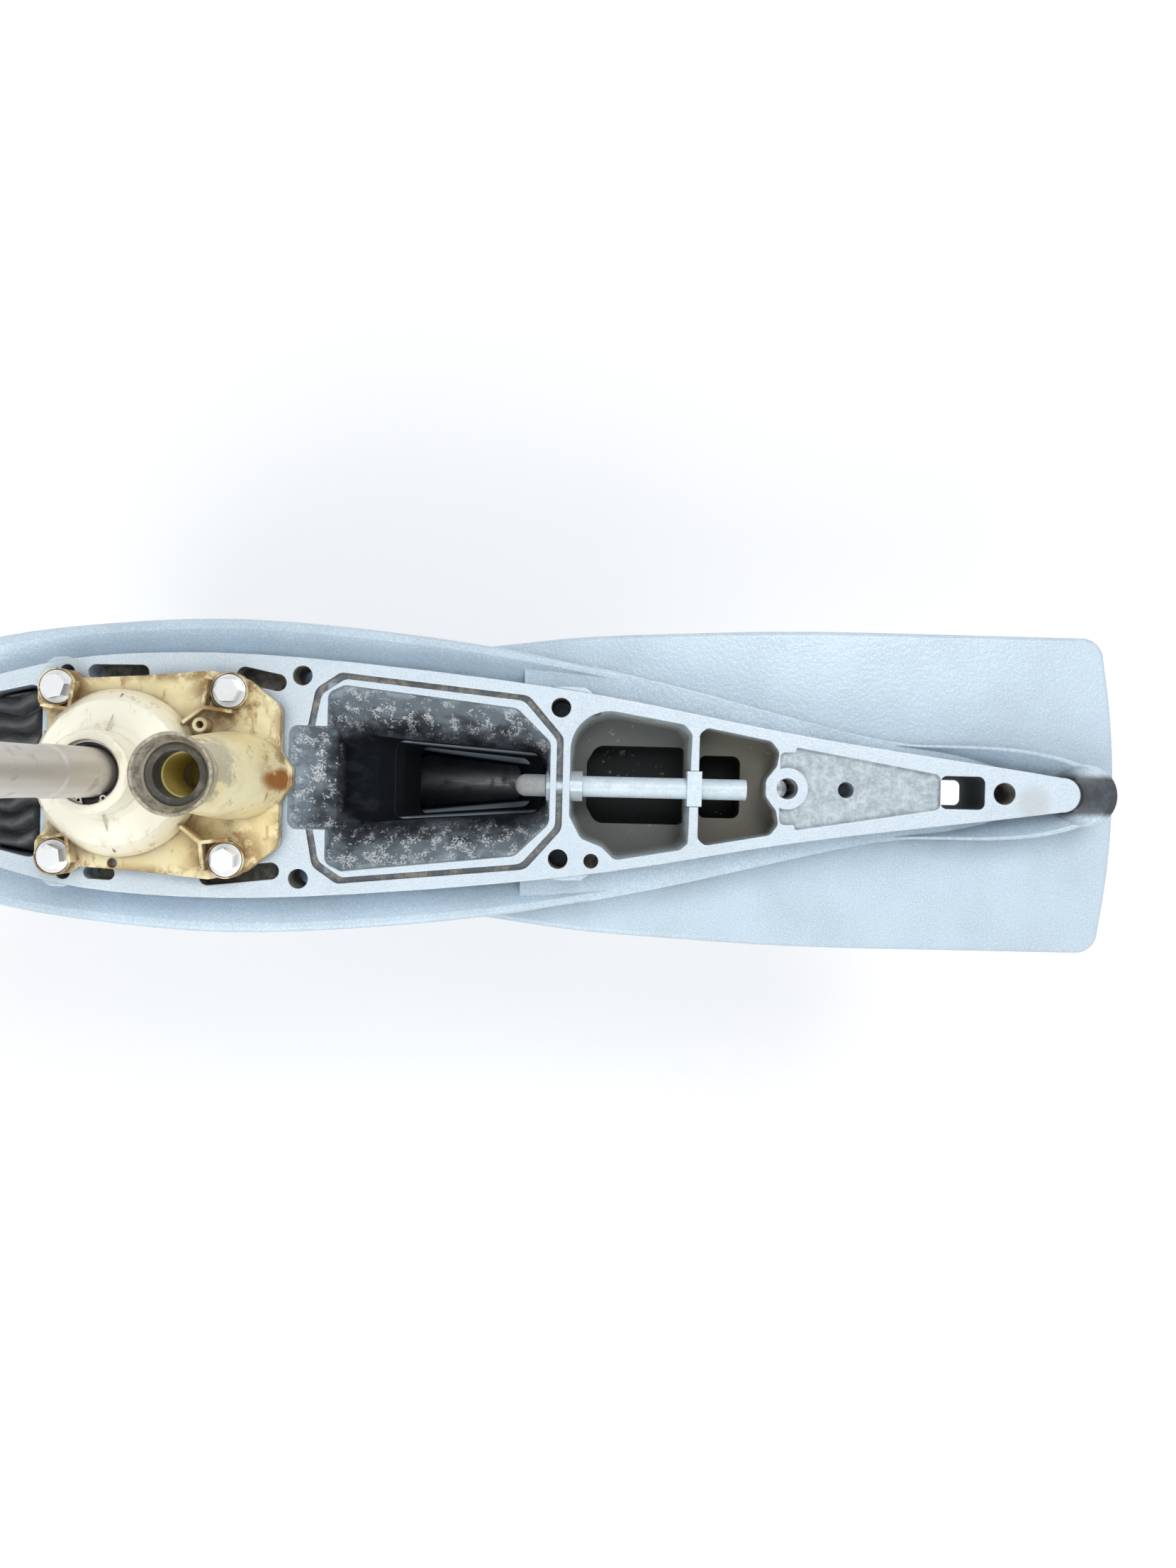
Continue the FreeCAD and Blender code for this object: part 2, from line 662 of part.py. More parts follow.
# The passage's levels: height, front, rear, half width in front and at the rear.
PASSAGE = [(1, 97, 124, 31.7, 31.7), (-8, 100, 160, 31, 29.5), (-22, 117, 215, 30.5, 25),
           (-36, 138, 252, 28, 19), (-54, 160, 248, 25, 19), (-76, 168, 243, 23, 17),
           (-120, 150, 232, 22, 12), (-216, 150, 262, 20, 9)]
GROOVE = mirrored([(109, 30, 3), (113.5, 54, 8), (128.5, 64.2, 7), (243, 52.8, 9), (264.6, 28, 8)])
CAVITY_A = [(268.8, 49, 24), (338, 37.5, 5), (342.8, 31.8, 4), (341.5, -35, 4),
            (336.5, -39, 5), (297, -46, 5), (289, -38.3, 5), (276, -33.3, 7), (268.8, -19.5, 6)]
CAVITY_A_DEEP = mirrored([(279, 14, 5), (285, 24.5, 8), (340, 24.5, 3)])
CAVITY_B = mirrored([(347.2, 32, 4), (352, 35.8, 4), (391, 28.6, 6), (396, 22, 5), (394.5, 13.5, 4),
                     (388, 5, 6)])
CAVITY_B_DEEP = mirrored([(349.5, 19.5, 4), (375, 19.5, 5)])
TAIL_RECESS = mirrored([(396.5, 22, 3), (406, 22, 2), (406, 25.2, 3), (494, 10.5, 4)])
FRONT_RECESS = mirrored([(-129, 17, 8), (-99, 19, 6), (-82, 47, 9), (-51.8, 54, 7)])


def inner_ring(corners, step):
    """The same outline, a little smaller all round."""
    xs = [corner[0] for corner in corners]
    middle = (min(xs) + max(xs)) / 2
    half_x = (max(xs) - min(xs)) / 2
    half_y = max(abs(corner[1]) for corner in corners)
    scale_x = (half_x - step) / half_x
    scale_y = (half_y - step) / half_y
    return [(middle + (x - middle) * scale_x, y * scale_y, radius) for x, y, radius in corners]


def exhaust_cavity():
    """The cavity in the deck and its passage down to the torpedo's rear."""
    groove = prism(GROOVE, -3, 1)
    bowl = [rounded_wire(mirrored(corners), z) for z, corners in EXHAUST_BOWL]
    passage = []
    for z, front, rear, wide, narrow in PASSAGE:
        passage.append(rounded_wire(mirrored([(front, wide, 6), (rear, narrow, 6)]), z))
    return [groove.cut(prism(inner_ring(GROOVE, 3.9), -4, 2)), loft(bowl, True), loft(passage, True)]


def deck_cavities():
    cuts = exhaust_cavity()
    cuts.append(loft([rounded_wire(CAVITY_A, 1), rounded_wire(inner_ring(CAVITY_A, 3), -31)], True))
    cuts.append(prism(CAVITY_A_DEEP, -47, 0))
    cuts.append(prism(CAVITY_B, -24, 1))
    cuts.append(prism(CAVITY_B_DEEP, -46, 0))
    island = cylinder(12.7, -4, 1, mm.boss_hole_x)
    cuts.append(prism(TAIL_RECESS, -3, 1).cut(island))
    cuts.append(prism(FRONT_RECESS, -mm.recess_depth, 1))
    return cuts


def slot(x, y, end_x, end_y, width, depth):
    """A round-ended slot between two points."""
    start = Vector(x, y, 0)
    along = Vector(end_x, end_y, 0) - start
    bar = Part.makeBox(along.Length, width, depth + 1, Vector(0, -width / 2, -depth))
    bar = bar.fuse(cylinder(width / 2, -depth, 1)).fuse(cylinder(width / 2, -depth, 1, along.Length))
    bar.Placement = Placement(start, Rotation(AFT, along))
    return bar


def water_slots():
    return [slot(-20, 60.8, 7.5, 61.2, 9.6, 18), slot(70.5, 61, 90.5, 57, 10.4, 18),
            slot(50.5, -61.8, 88.5, -57.4, 10.4, 18), slot(-21, -60.6, -10, -61.2, 8, 14)]


def bolt_holes():
    """Deck bolt holes, with spot faces from below for the bolt heads."""
    flange_bottom = -mm.splash_top - mm.splash_thickness
    cuts = []
    pairs = ((mm.front_pair_x, mm.front_pair_y), (mm.middle_pair_x, mm.middle_pair_y),
             (mm.rear_pair_x, mm.rear_pair_y))
    for x, y in pairs:
        for side in (1, -1):
            cuts.append(cylinder(mm.bolt_hole_radius, flange_bottom - 6, 1, x, side * y))
            cuts.append(cylinder(11, -mm.plate_top - 1, flange_bottom, x, side * y))
    cuts.append(cylinder(mm.boss_hole_radius, plate_bottom() - 1, 1, mm.boss_hole_x))
    cuts.append(cylinder(mm.tail_hole_radius, plate_bottom() - 1, 1, mm.tail_hole_x))
    cuts.append(cylinder(mm.dowel_radius, -14, 1, mm.dowel_x, -mm.dowel_y))
    cuts.append(cylinder(mm.tab_bolt_radius + mm.seat_clearance, plate_bottom() - 1, 1, mm.tab_x))
    for side in (1, -1):
        cuts.append(cylinder(4.6, -16, 1, -37.5, side * 60.6))
    top = rounded_wire(square(mm.window_x, mm.window_half + 3.4, mm.window_half, 4), 1)
    low = rounded_wire(square(mm.window_x + 3, mm.window_half + 3.6, 0.8 * mm.window_half, 4), plate_bottom() - 1)
    cuts.append(loft([top, low], True))
    return cuts


def square(x, half_x, half_y, radius):
    return [(x - half_x, half_y, radius), (x + half_x, half_y, radius), (x + half_x, -half_y, radius),
            (x - half_x, -half_y, radius)]


def pump_bolt_places():
    places = []
    for x, y in ((mm.pump_bolt_front_x, mm.pump_bolt_front_y), (mm.pump_bolt_rear_x, mm.pump_bolt_rear_y)):
        places += [(x, y), (x, -y)]
    return places


def shaft_cuts():
    """Bores for the driveshaft, its bearings, the pinion and the shift rod."""
    gap = mm.seat_clearance
    depth = mm.prop_depth
    bearing_bottom = -mm.upper_bearing_top - mm.upper_bearing_height
    lower_end = -mm.lower_bearing_top - mm.lower_bearing_height
    well_top = mm.spool_radius + 9.5 - depth
    cuts = [
        cylinder(mm.carrier_flange + gap, -6, 1),
        cylinder(mm.carrier_radius + gap, -mm.carrier_depth, 1),
        cylinder(mm.upper_bearing_radius + gap, bearing_bottom, 1),
        cylinder(mm.shaft_lower_radius + 6, -mm.lower_bearing_top, 0),
        cylinder(mm.lower_bearing_radius + gap, lower_end, -mm.lower_bearing_top + 1),
        cylinder(pinion_reach() + 2, -depth, pinion_back() - 6.3 - depth),
        cylinder(28.5, -depth, lower_end + 1),
        cylinder(mm.rod_radius + gap, well_top, 0, -mm.rod_x),
        cylinder(12 + gap, -mm.recess_depth - 8, 0, -mm.rod_x),
        cylinder(14.2, -depth, well_top, -mm.rod_x),
    ]
    for x, y in pump_bolt_places():
        cuts.append(cylinder(mm.pump_bolt_radius + gap, -22, 1, x, y))
    return cuts


def prop_cuts():
    """Bores about the propeller shaft, from the spool chamber to the open rear."""
    gap = mm.seat_clearance
    face = -mm.forward_bearing_face
    steps = [
        (mm.spool_radius + 0.08, -mm.rod_x - 20, face - mm.forward_bearing_width + 1),
        (mm.forward_bearing_radius - 5, face - mm.forward_bearing_width - 12, face),
        (mm.forward_bearing_radius + gap, face - mm.forward_bearing_width, face + 1),
        (mm.gear_chamber, face + 0.5, mm.carrier_front),
        (mm.carrier_ring_radius + gap, mm.carrier_front - 1, mm.carrier_front + mm.carrier_ring_width),
        (mm.ring_nut_radius + gap, mm.carrier_front + mm.carrier_ring_width, mm.torpedo_end + 1),
    ]
    return [along_x(radius, start, end, 0, -mm.prop_depth) for radius, start, end in steps]


def screen_placement(side):
    """Where a water inlet screen sits on the leg's side."""
    turn = Rotation(UP, side * mm.screen_tilt)
    return Placement(Vector(mm.screen_x, side * mm.screen_seat, -mm.screen_depth), turn)


def water_cuts():
    """Pockets for the inlet screens, the chamber behind and the way up to the recess."""
    cuts = []
    half_x = mm.screen_width / 2 + 0.2
    half_z = mm.screen_height / 2 + 0.2
    for side in (1, -1):
        outward = (0, 12) if side > 0 else (-12, 0)
        hole = box((-half_x, outward[0], -half_z), (half_x, outward[1], half_z))
        hole.Placement = screen_placement(side)
        cuts.append(hole)
    x = mm.screen_x
    reach = mm.screen_seat - 2
    window = box((x - 15, -reach - 6, -mm.screen_depth - 19), (x + 15, reach + 6, -mm.screen_depth + 19))
    cuts.append(window)
    cuts.append(box((x - 14, -8, -mm.screen_depth), (x - 2, 8, -mm.recess_depth + 1)))
    return cuts


def plug_cuts():
    """Spot faces and threads for the oil plugs, on the starboard side."""
    cuts = []
    for x, depth, seat in plug_places():
        for radius, start, end in ((mm.plug_head_radius + 2, seat, seat + 30),
                                   (mm.plug_radius + mm.seat_clearance, seat - 22, seat + 1)):
            cuts.append(Part.makeCylinder(radius, end - start, Vector(x, start, -depth), Vector(0, 1, 0)))
    return cuts


def plug_places():
    return ((mm.drain_x, mm.drain_depth, mm.drain_seat), (mm.level_x, mm.level_depth, mm.level_seat))


def tube_boss():
    """Cast boss that carries the crossing tube through the wall between two cavities."""
    return along_x(mm.tube_boss_radius, mm.tube_boss_front, mm.tube_boss_rear, mm.tube_y, -mm.tube_depth)


def tube_cuts():
    """The boss is bored and the rib is notched for the crossing tube."""
    z = -mm.tube_depth
    notch = box((340, mm.tube_y - 11, z - 9), (349.5, mm.tube_y + 11, 1))
    return [along_x(mm.tube_radius + mm.seat_clearance, 240, 350, mm.tube_y, z), notch]


def gearcase():
    form = deck_column()
    parts = [splash_flange(), tail_fairing(), tail_slope(), ventilation_plate(), leg(), torpedo(), skeg()]
    form = form.multiFuse(parts + cast_pads())
    cuts = deck_cavities() + water_slots() + bolt_holes() + shaft_cuts() + prop_cuts()
    cuts += water_cuts() + plug_cuts()
    casting = form.cut(cuts).fuse(tube_boss()).cut(tube_cuts())
    whole = max(casting.Solids, key=lambda solid: solid.Volume)
    feature("gearcase_housing", whole)


# Bevel gears


def cone_distance():
    return mm.gear_module / 2 * math.hypot(mm.pinion_teeth, mm.gear_teeth)


def pinion_reach():
    """The pinion's outer radius."""
    angle = math.atan2(mm.pinion_teeth, mm.gear_teeth)
    return mm.gear_module * (mm.pinion_teeth / 2 + math.cos(angle))


class BevelGear:
    """Teeth and blank of a straight bevel gear about Z, its apex at the origin."""

    def __init__(self, teeth, mate):
        self.teeth = int(teeth)
        self.angle = math.atan2(teeth, mate)
        self.reach = cone_distance()
        self.virtual = self.reach * math.tan(self.angle)
        self.root = self.virtual - 1.25 * mm.gear_module

    def on_back_cone(self, radius, turn, share):
        """A point of the virtual flat gear, laid in the plane that touches the back cone."""
        down = radius * math.cos(turn)
        height = self.reach / math.cos(self.angle) - down * math.sin(self.angle)
        return Vector(down * math.cos(self.angle), radius * math.sin(turn), height) * share

    def half_turn(self, radius):
        """Half of the tooth's angle at a radius, by the involute of a 20 degree tooth."""
        pressure = math.radians(20)
        base = self.virtual * math.cos(pressure)
        at = math.acos(min(1.0, base / max(radius, base)))
        middle = math.pi * mm.gear_module / (4 * self.virtual) - mm.gear_backlash / (4 * self.virtual)
        return middle + (math.tan(pressure) - pressure) - (math.tan(at) - at)

    def tooth(self):
        tip = self.virtual + mm.gear_module
        sunk = self.root - 0.9
        radii = [self.root, 0.55 * self.root + 0.45 * self.virtual, self.virtual, (self.virtual + tip) / 2, tip]
        side = [(sunk, self.half_turn(self.root))] + [(radius, self.half_turn(radius)) for radius in radii]
        ring_of = side + [(radius, -turn) for radius, turn in reversed(side)]
        small = (self.reach - mm.gear_face) / self.reach
        rings = []
        for share in (small, 1.0):
            rings.append([self.on_back_cone(radius, turn, share) for radius, turn in ring_of])
        return solid_from_rings(rings)

    def blank(self, hub_points):
        """Root cone with its back, closed by the hub's points of (radius, height)."""
        small = (self.reach - mm.gear_face) / self.reach - 0.012
        ends = [self.on_back_cone(self.root, 0, small), self.on_back_cone(self.root, 0, 1.012),
                self.on_back_cone(self.root - 5, 0, 1.012)]
        points = [Vector(end.x, 0, end.z) for end in ends]
        points += [Vector(radius, 0, height) for radius, height in hub_points]
        return Part.Face(Part.makePolygon(points + points[:1])).revolve(Vector(0, 0, 0), UP, 360)

    def solid(self, hub_points, first_turn):
        tooth = self.tooth()
        teeth = []
        for index in range(self.teeth):
            copy = tooth.copy()
            copy.rotate(Vector(0, 0, 0), UP, first_turn + index * 360 / self.teeth)
            teeth.append(copy)
        return self.blank(hub_points).multiFuse(teeth)


def lugs(inner, outer, low, high, phase):
    """Clutch lugs: blocks between two radii, evenly spaced."""
    blocks = []
    for index in range(int(mm.lug_count)):
        wedge = Part.makeCylinder(outer, high - low, Vector(0, 0, low), UP, mm.lug_angle)
        wedge = wedge.cut(cylinder(inner, low - 1, high + 1))
        wedge.rotate(Vector(0, 0, 0), UP, phase - mm.lug_angle / 2 + index * 360 / mm.lug_count)
        blocks.append(wedge)
    return blocks


def lug_face():
    """Distance of the dog's lug faces from the middle of the dog at rest."""
    return mm.dog_half_length + mm.lug_height


def main_gear(label, first_turn, lug_phase, placement, hub_end):
    gear = BevelGear(mm.gear_teeth, mm.pinion_teeth)
    face = lug_face() + 8
    back = gear.on_back_cone(gear.root - 5, 0, 1.012).z
    hub = [(gear.on_back_cone(gear.root - 5, 0, 1.012).x, back + 4), (mm.hub_radius, back + 4),
           (mm.hub_radius, hub_end), (mm.gear_bore, hub_end), (mm.gear_bore, face),
           (gear.on_back_cone(gear.root, 0, 0.66).x, face)]
    solid = gear.solid(hub, first_turn)
    low = lug_face() + 2
    blocks = lugs(mm.gear_bore + 0.5, mm.dog_radius, low, face + 0.5, lug_phase)
    feature(label, solid.multiFuse(blocks), placement)


def gears():
    """Local +Z runs from the common apex to each gear's back."""
    half_pitch = 180 / mm.gear_teeth
    centre = Vector(0, 0, -mm.prop_depth)
    forward = Placement(centre, Rotation(Vector(0, 1, 0), -90))
    reverse = Placement(centre, Rotation(Vector(0, 1, 0), 90))
    hub_end = mm.forward_bearing_face + mm.forward_bearing_width
    main_gear("forward_gear", 0, 180 + 60 - mm.forward_lug_phase, forward, hub_end)
    reverse_end = mm.carrier_front + ball_bearing_place() + mm.ball_bearing_width
    main_gear("reverse_gear", 180 + half_pitch, 60 + mm.reverse_lug_phase, reverse, reverse_end)
    pinion = BevelGear(mm.pinion_teeth, mm.gear_teeth)
    small = pinion.on_back_cone(pinion.root, 0, 0.66)
    back = pinion.on_back_cone(pinion.root - 5, 0, 1.012)
    bore = 11.5 + mm.seat_clearance
    hub = [(back.x, pinion_back()), (bore, pinion_back()), (bore, pinion_face()), (small.x, pinion_face())]
    feature("pinion_gear", pinion.solid(hub, 0), Placement(centre, Rotation()))


def pinion_back():
    """The pinion's upper face, from the apex."""
    return cone_distance() * math.cos(math.atan2(mm.pinion_teeth, mm.gear_teeth)) + 10


def pinion_face():
    """The pinion's lower face, from the apex."""
    small = (cone_distance() - mm.gear_face) / cone_distance() - 0.012
    return BevelGear(mm.pinion_teeth, mm.gear_teeth).on_back_cone(0, 0, 0).z + small * 57.4


def ball_bearing_place():
    """How far the ball bearing sits behind the carrier's front face."""
    return 4.0


# Shafts


def driveshaft():
    depth = size.prop_depth
    nut_low = -depth + (pinion_face() - 10)
    pinion_low = -depth + pinion_face()
    pinion_high = -depth + pinion_back()
    journal_high = -size.lower_bearing_top + 2
    seat_low = -size.upper_bearing_top - size.upper_bearing_height
    seat_high = -size.upper_bearing_top
    step = 110.0
    corners = [
        (0, nut_low), (8.5, nut_low), (8.5, pinion_low - 0.5), (11.5, pinion_low - 0.5), (11.5, pinion_high),
        (size.shaft_radius, pinion_high + 2), (size.shaft_radius, journal_high),
        (size.shaft_lower_radius, journal_high + 4), (size.shaft_lower_radius, seat_low - 6),
        (size.shaft_seat_radius, seat_low - 2), (size.shaft_seat_radius, seat_high),
        (size.shaft_radius, seat_high + 2), (size.shaft_radius, step), (size.shaft_upper_radius, step + 3),
        (size.shaft_upper_radius, size.shaft_top - size.pilot_length),
        (size.pilot_radius, size.shaft_top - size.pilot_length), (size.pilot_radius, size.shaft_top),
        (0, size.shaft_top),
    ]
    body = revolved("driveshaft", corners)
    spline = sketch_in(body, "XY_Plane", size.shaft_top)
    draw_circle(spline, size.shaft_upper_radius + 0.4, 0, 1.7)
    groove = pocket(body, spline, size.pilot_length + 32)
    repeated(body, groove, 12)
    keyway = sketch_in(body, "XZ_Plane")
    low = size.pump_gasket + size.wear_plate + 3
    draw_polygon(keyway, [(size.shaft_radius - 2.5, low), (size.shaft_radius + 4, low),
                          (size.shaft_radius + 4, low + 13), (size.shaft_radius - 2.5, low + 13)])
    pocket(body, keyway, 5, midplane=True)
    keep(body, "driveshaft")


def impeller_key():
    body = new_body("impeller_key")
    sketch = sketch_in(body, "XZ_Plane")
    low = size.pump_gasket + size.wear_plate + 3.05
    outer = size.shaft_radius + 2.2
    draw_polygon(sketch, [(size.shaft_radius - 2.45, low), (outer, low), (outer, low + 12.9),
                          (size.shaft_radius - 2.45, low + 12.9)])
    block = pad(body, sketch, 4.9)
    block.Midplane = True
    keep(body, "impeller_key")


def pinion_nut():
    body = new_body("pinion_nut")
    high = -size.prop_depth + (pinion_face() - 0.6)
    sketch = sketch_in(body, "XY_Plane", high - 8)
    draw_polygon(sketch, hexagon(Bound(24.0, "24.0")))
    draw_circle(sketch, 0, 0, 8.5 + mm.seat_clearance)
    pad(body, sketch, 8)
    doc.recompute()
    keep(body, "pinion_nut")


def shift_rod():
    gap = mm.spool_radius + 3
    body = revolved("shift_rod", [
        (0, gap - size.prop_depth), (13.2, gap - size.prop_depth), (13.2, gap + 5 - size.prop_depth),
        (size.rod_radius, gap + 5.5 - size.prop_depth), (size.rod_radius, size.rod_top - size.rod_end_length),
        (size.rod_end_radius, size.rod_top - size.rod_end_length), (size.rod_end_radius, size.rod_top),
        (0, size.rod_top)])
    pin = sketch_in(body, "XY_Plane", 9 - size.prop_depth)
    draw_circle(pin, 0, -(size.shift_throw * math.sqrt(2)), size.crank_pin_radius)
    pad(body, pin, gap - 9 + 0.5)
    doc.recompute()
    keep(body, "shift_rod", Placement(Vector(-mm.rod_x, 0, 0), Rotation()))


def propeller_shaft():
    front = -size.prop_front
    taper = size.torpedo_end + 18
    end = size.prop_end
    bore = size.slider_radius + 0.3
    corners = [
        (bore, front), (size.prop_front_radius, front), (size.prop_front_radius, -24), (size.prop_radius, -23),
        (size.prop_radius, 58), (size.prop_radius, size.carrier_front + 60),
        (size.prop_rear_radius, size.carrier_front + 62), (size.prop_rear_radius, taper),
        (size.prop_rear_radius - 1.6, taper + 26), (size.prop_rear_radius - 1.6, end - 60),
        (size.prop_thread_radius, end - 60), (size.prop_thread_radius, end - 1.5),
        (size.prop_thread_radius - 1.5, end), (0, end), (0, 14), (bore, 14)]
    body = revolved("propeller_shaft", corners)
    slot_sketch = sketch_in(body, "XZ_Plane")
    half = size.shift_throw + 4.2
    draw_polygon(slot_sketch, [(-3.8, -half), (3.8, -half), (3.8, half), (-3.8, half)])
    pocket(body, slot_sketch, 60, midplane=True)
    spline = sketch_in(body, "XY_Plane", end - 60)
    draw_circle(spline, size.prop_rear_radius - 0.9, 0, 1.5)
    groove = pocket(body, spline, 70)
    repeated(body, groove, 15)
    keep(body, "propeller_shaft", on_prop_axis())


def clutch():
    """Dog, cross pin, retaining spring and plunger, about the propeller shaft."""
    gap = mm.seat_clearance
    half = mm.dog_half_length
    dog = tube(mm.prop_radius + gap, mm.dog_radius, -half, half)
    dog = dog.multiFuse(lugs(mm.gear_bore + 0.5, mm.dog_radius, half - 0.5, lug_face(), 0)
                        + lugs(mm.gear_bore + 0.5, mm.dog_radius, -lug_face(), -half + 0.5, 0))
    dog = dog.cut(tube(mm.dog_radius - 2.2, mm.dog_radius + 1, -2.2, 2.2))
    pin_hole = Part.makeCylinder(3.5 + gap, 60, Vector(0, -30, 0), Vector(0, 1, 0))
    feature("clutch_dog", dog.cut(pin_hole), on_prop_axis())
    pin = Part.makeCylinder(3.5, 2 * mm.dog_radius - 6, Vector(0, 3 - mm.dog_radius, 0), Vector(0, 1, 0))
    feature("clutch_cross_pin", pin, on_prop_axis())
    ring("clutch_spring_ring", size.dog_radius - 2.1, size.dog_radius - 0.2, -2, 2, on_prop_axis())
    plunger = cylinder(mm.slider_radius, 10.2 - mm.prop_front, 6).cut(pin.makeOffsetShape(gap, 0.01))
    feature("shift_plunger", plunger, on_prop_axis())


def shift_slider():
    """Spool moved by the crank pin, with a neck that reaches into the propeller shaft."""
    groove = size.crank_pin_radius + 0.5
    spool = size.spool_radius
    middle = -size.rod_x
    corners = [
        (0, middle - groove - 4), (spool, middle - groove - 4), (spool, middle - groove), (8, middle - groove),
        (8, middle + groove), (spool, middle + groove), (spool, middle + groove + 4),
        (size.slider_radius, middle + groove + 4), (size.slider_radius, 10 - size.prop_front),
        (0, 10 - size.prop_front)]
    turned("shift_slider", corners, on_prop_axis())


# Bearings and seals


def taper_bearing(bore, outer, low, high, rollers):
    """Cone with rollers, and cup, about Z. The narrow end is low."""
    gap = 0.05
    roller = 0.16 * (outer - bore)
    tilt = math.radians(12)
    middle = (bore + outer) / 2
    half = (high - low) / 2

    def line_radius(offset, height):
        return middle + offset / math.cos(tilt) + (height - low - half) * math.tan(tilt)

    inside = line_radius(-roller - gap, low), line_radius(-roller - gap, high)
    outside = line_radius(roller + gap, low), line_radius(roller + gap, high)
    race = [(bore, low), (inside[0], low), (inside[1], high), (bore, high)]
    cup = [(outside[0], low), (outer, low), (outer, high), (outside[1], high)]
    shapes = []
    for corners in (race, cup):
        points = [Vector(radius, 0, height) for radius, height in corners]
        shapes.append(Part.Face(Part.makePolygon(points + points[:1])).revolve(Vector(0, 0, 0), UP, 360))
    length = 0.74 * (high - low)
    body = Part.makeCylinder(roller, length, Vector(0, 0, -length / 2), UP)
    body.Placement = Placement(Vector(middle, 0, low + half), Rotation(Vector(0, 1, 0), math.degrees(tilt)))
    turns = [Placement(Vector(0, 0, 0), Rotation(UP, index * 360 / rollers)) for index in range(rollers)]
    cone = Part.makeCompound([shapes[0]] + copies(body, turns).Solids)
    return cone, shapes[1]


def needle_bearing(shaft, outer, low, high, count):
    """Shell with needles that run on a shaft, about Z."""
    needle = 2.0
    shell = tube(shaft + 2 * needle + 0.15, outer, low, high)
    body = cylinder(needle, low + 2, high - 2, shaft + needle + 0.06)
    turns = [Placement(Vector(0, 0, 0), Rotation(UP, index * 360 / count)) for index in range(count)]
    return Part.makeCompound([shell] + copies(body, turns).Solids)


def ball_bearing(bore, outer, low, high, count):
    """Two races with round tracks and a ring of balls, about Z."""
    middle = (bore + outer) / 2
    ball = 0.27 * (outer - bore)
    height = (low + high) / 2
    track = Part.makeTorus(middle, ball + 0.05, Vector(0, 0, height), UP)
    inner = tube(bore, middle - 0.5 * ball, low, high).cut(track)
    outside = tube(middle + 0.5 * ball, outer, low, high).cut(track)
    balls = []
    for index in range(count):
        angle = 2 * math.pi * index / count
        centre = Vector(middle * math.cos(angle), middle * math.sin(angle), height)
        balls.append(Part.makeSphere(ball, centre))
    return Part.makeCompound([inner, outside] + balls)


def bearings():
    gap = mm.seat_clearance
    high = -mm.upper_bearing_top
    low = high - mm.upper_bearing_height
    cone, cup = taper_bearing(mm.shaft_seat_radius + gap, mm.upper_bearing_radius, low, high, 16)
    feature("driveshaft_bearing_cone", cone)
    feature("driveshaft_bearing_cup", cup)
    ring("driveshaft_bearing_retainer", 29, size.upper_bearing_radius, -size.upper_bearing_top + 0.1,
         -size.carrier_depth - 0.1)
    high = -mm.lower_bearing_top
    low = high - mm.lower_bearing_height
    feature("driveshaft_needle_bearing",
            needle_bearing(mm.shaft_radius, mm.lower_bearing_radius, low + 0.1, high, 20))
    low = mm.forward_bearing_face
    high = low + mm.forward_bearing_width
    cone, cup = taper_bearing(mm.hub_radius + gap, mm.forward_bearing_radius, -high, -low, 20)
    flip = Placement(Vector(0, 0, -mm.prop_depth), Rotation(Vector(0, 1, 0), 90))
    feature("forward_gear_bearing_cone", cone, flip)
    feature("forward_gear_bearing_cup", cup, flip)
    ring("forward_gear_needle_sleeve", size.prop_front_radius + gap, size.gear_bore - gap,
         -(size.prop_front), 0 - size.forward_bearing_face + 6, on_prop_axis())
    low = mm.carrier_front + ball_bearing_place()
    shape = ball_bearing(mm.hub_radius + gap, mm.ball_bearing_radius, low, low + mm.ball_bearing_width, 14)
    feature("reverse_gear_bearing", shape, on_prop_axis())
    low = mm.carrier_rear - 57
    feature("carrier_needle_bearing",
            needle_bearing(mm.prop_rear_radius, mm.rear_bearing_radius, low, low + 32, 22), on_prop_axis())


def lip_seal(shaft, outer, low, high):
    """Corners of a seal ring with a thin lip that leans down to the shaft."""
    depth = outer - shaft
    wall = outer - depth * 0.25
    root = shaft + depth * 0.35
    return [(wall, low), (outer, low), (outer, high), (root, high), (shaft + 0.05, high - 2),
            (shaft + 0.05, high - 2.8), (root, high - 2), (wall, high - 2)]


def seals():
    """Seal carrier under the pump, and the rubber parts of both shafts."""
    radius = size.carrier_radius
    low = -size.carrier_depth
    seal = mm.shaft_radius + 9
    turned("oil_seal_carrier", [
        (seal, -0.1), (size.carrier_flange, -0.1), (size.carrier_flange, -5.9), (radius, -5.9), (radius, -20),
        (radius - 2.6, -20), (radius - 2.6, -24), (radius, -24), (radius, low + 0.1), (30, low + 0.1),
        (20, -28), (16, -28), (16, -22), (seal, -22)])
    ring("seal_carrier_o_ring", radius - 2.5, radius, -23.8, -20.2)
    turned("driveshaft_lower_seal", lip_seal(size.shaft_radius, Bound(seal - 0.05, f"{seal - 0.05}"), -21.8, -12))
    turned("driveshaft_upper_seal", lip_seal(size.shaft_radius, Bound(seal - 0.05, f"{seal - 0.05}"), -11.5, -2))
    outer = size.rear_seal_radius - 0.05
    rear = size.carrier_rear
    turned("propshaft_inner_seal", lip_seal(size.prop_rear_radius, outer, rear - 23.8, rear - 14), on_prop_axis())
    turned("propshaft_outer_seal", lip_seal(size.prop_rear_radius, outer, rear - 13, rear - 3), on_prop_axis())


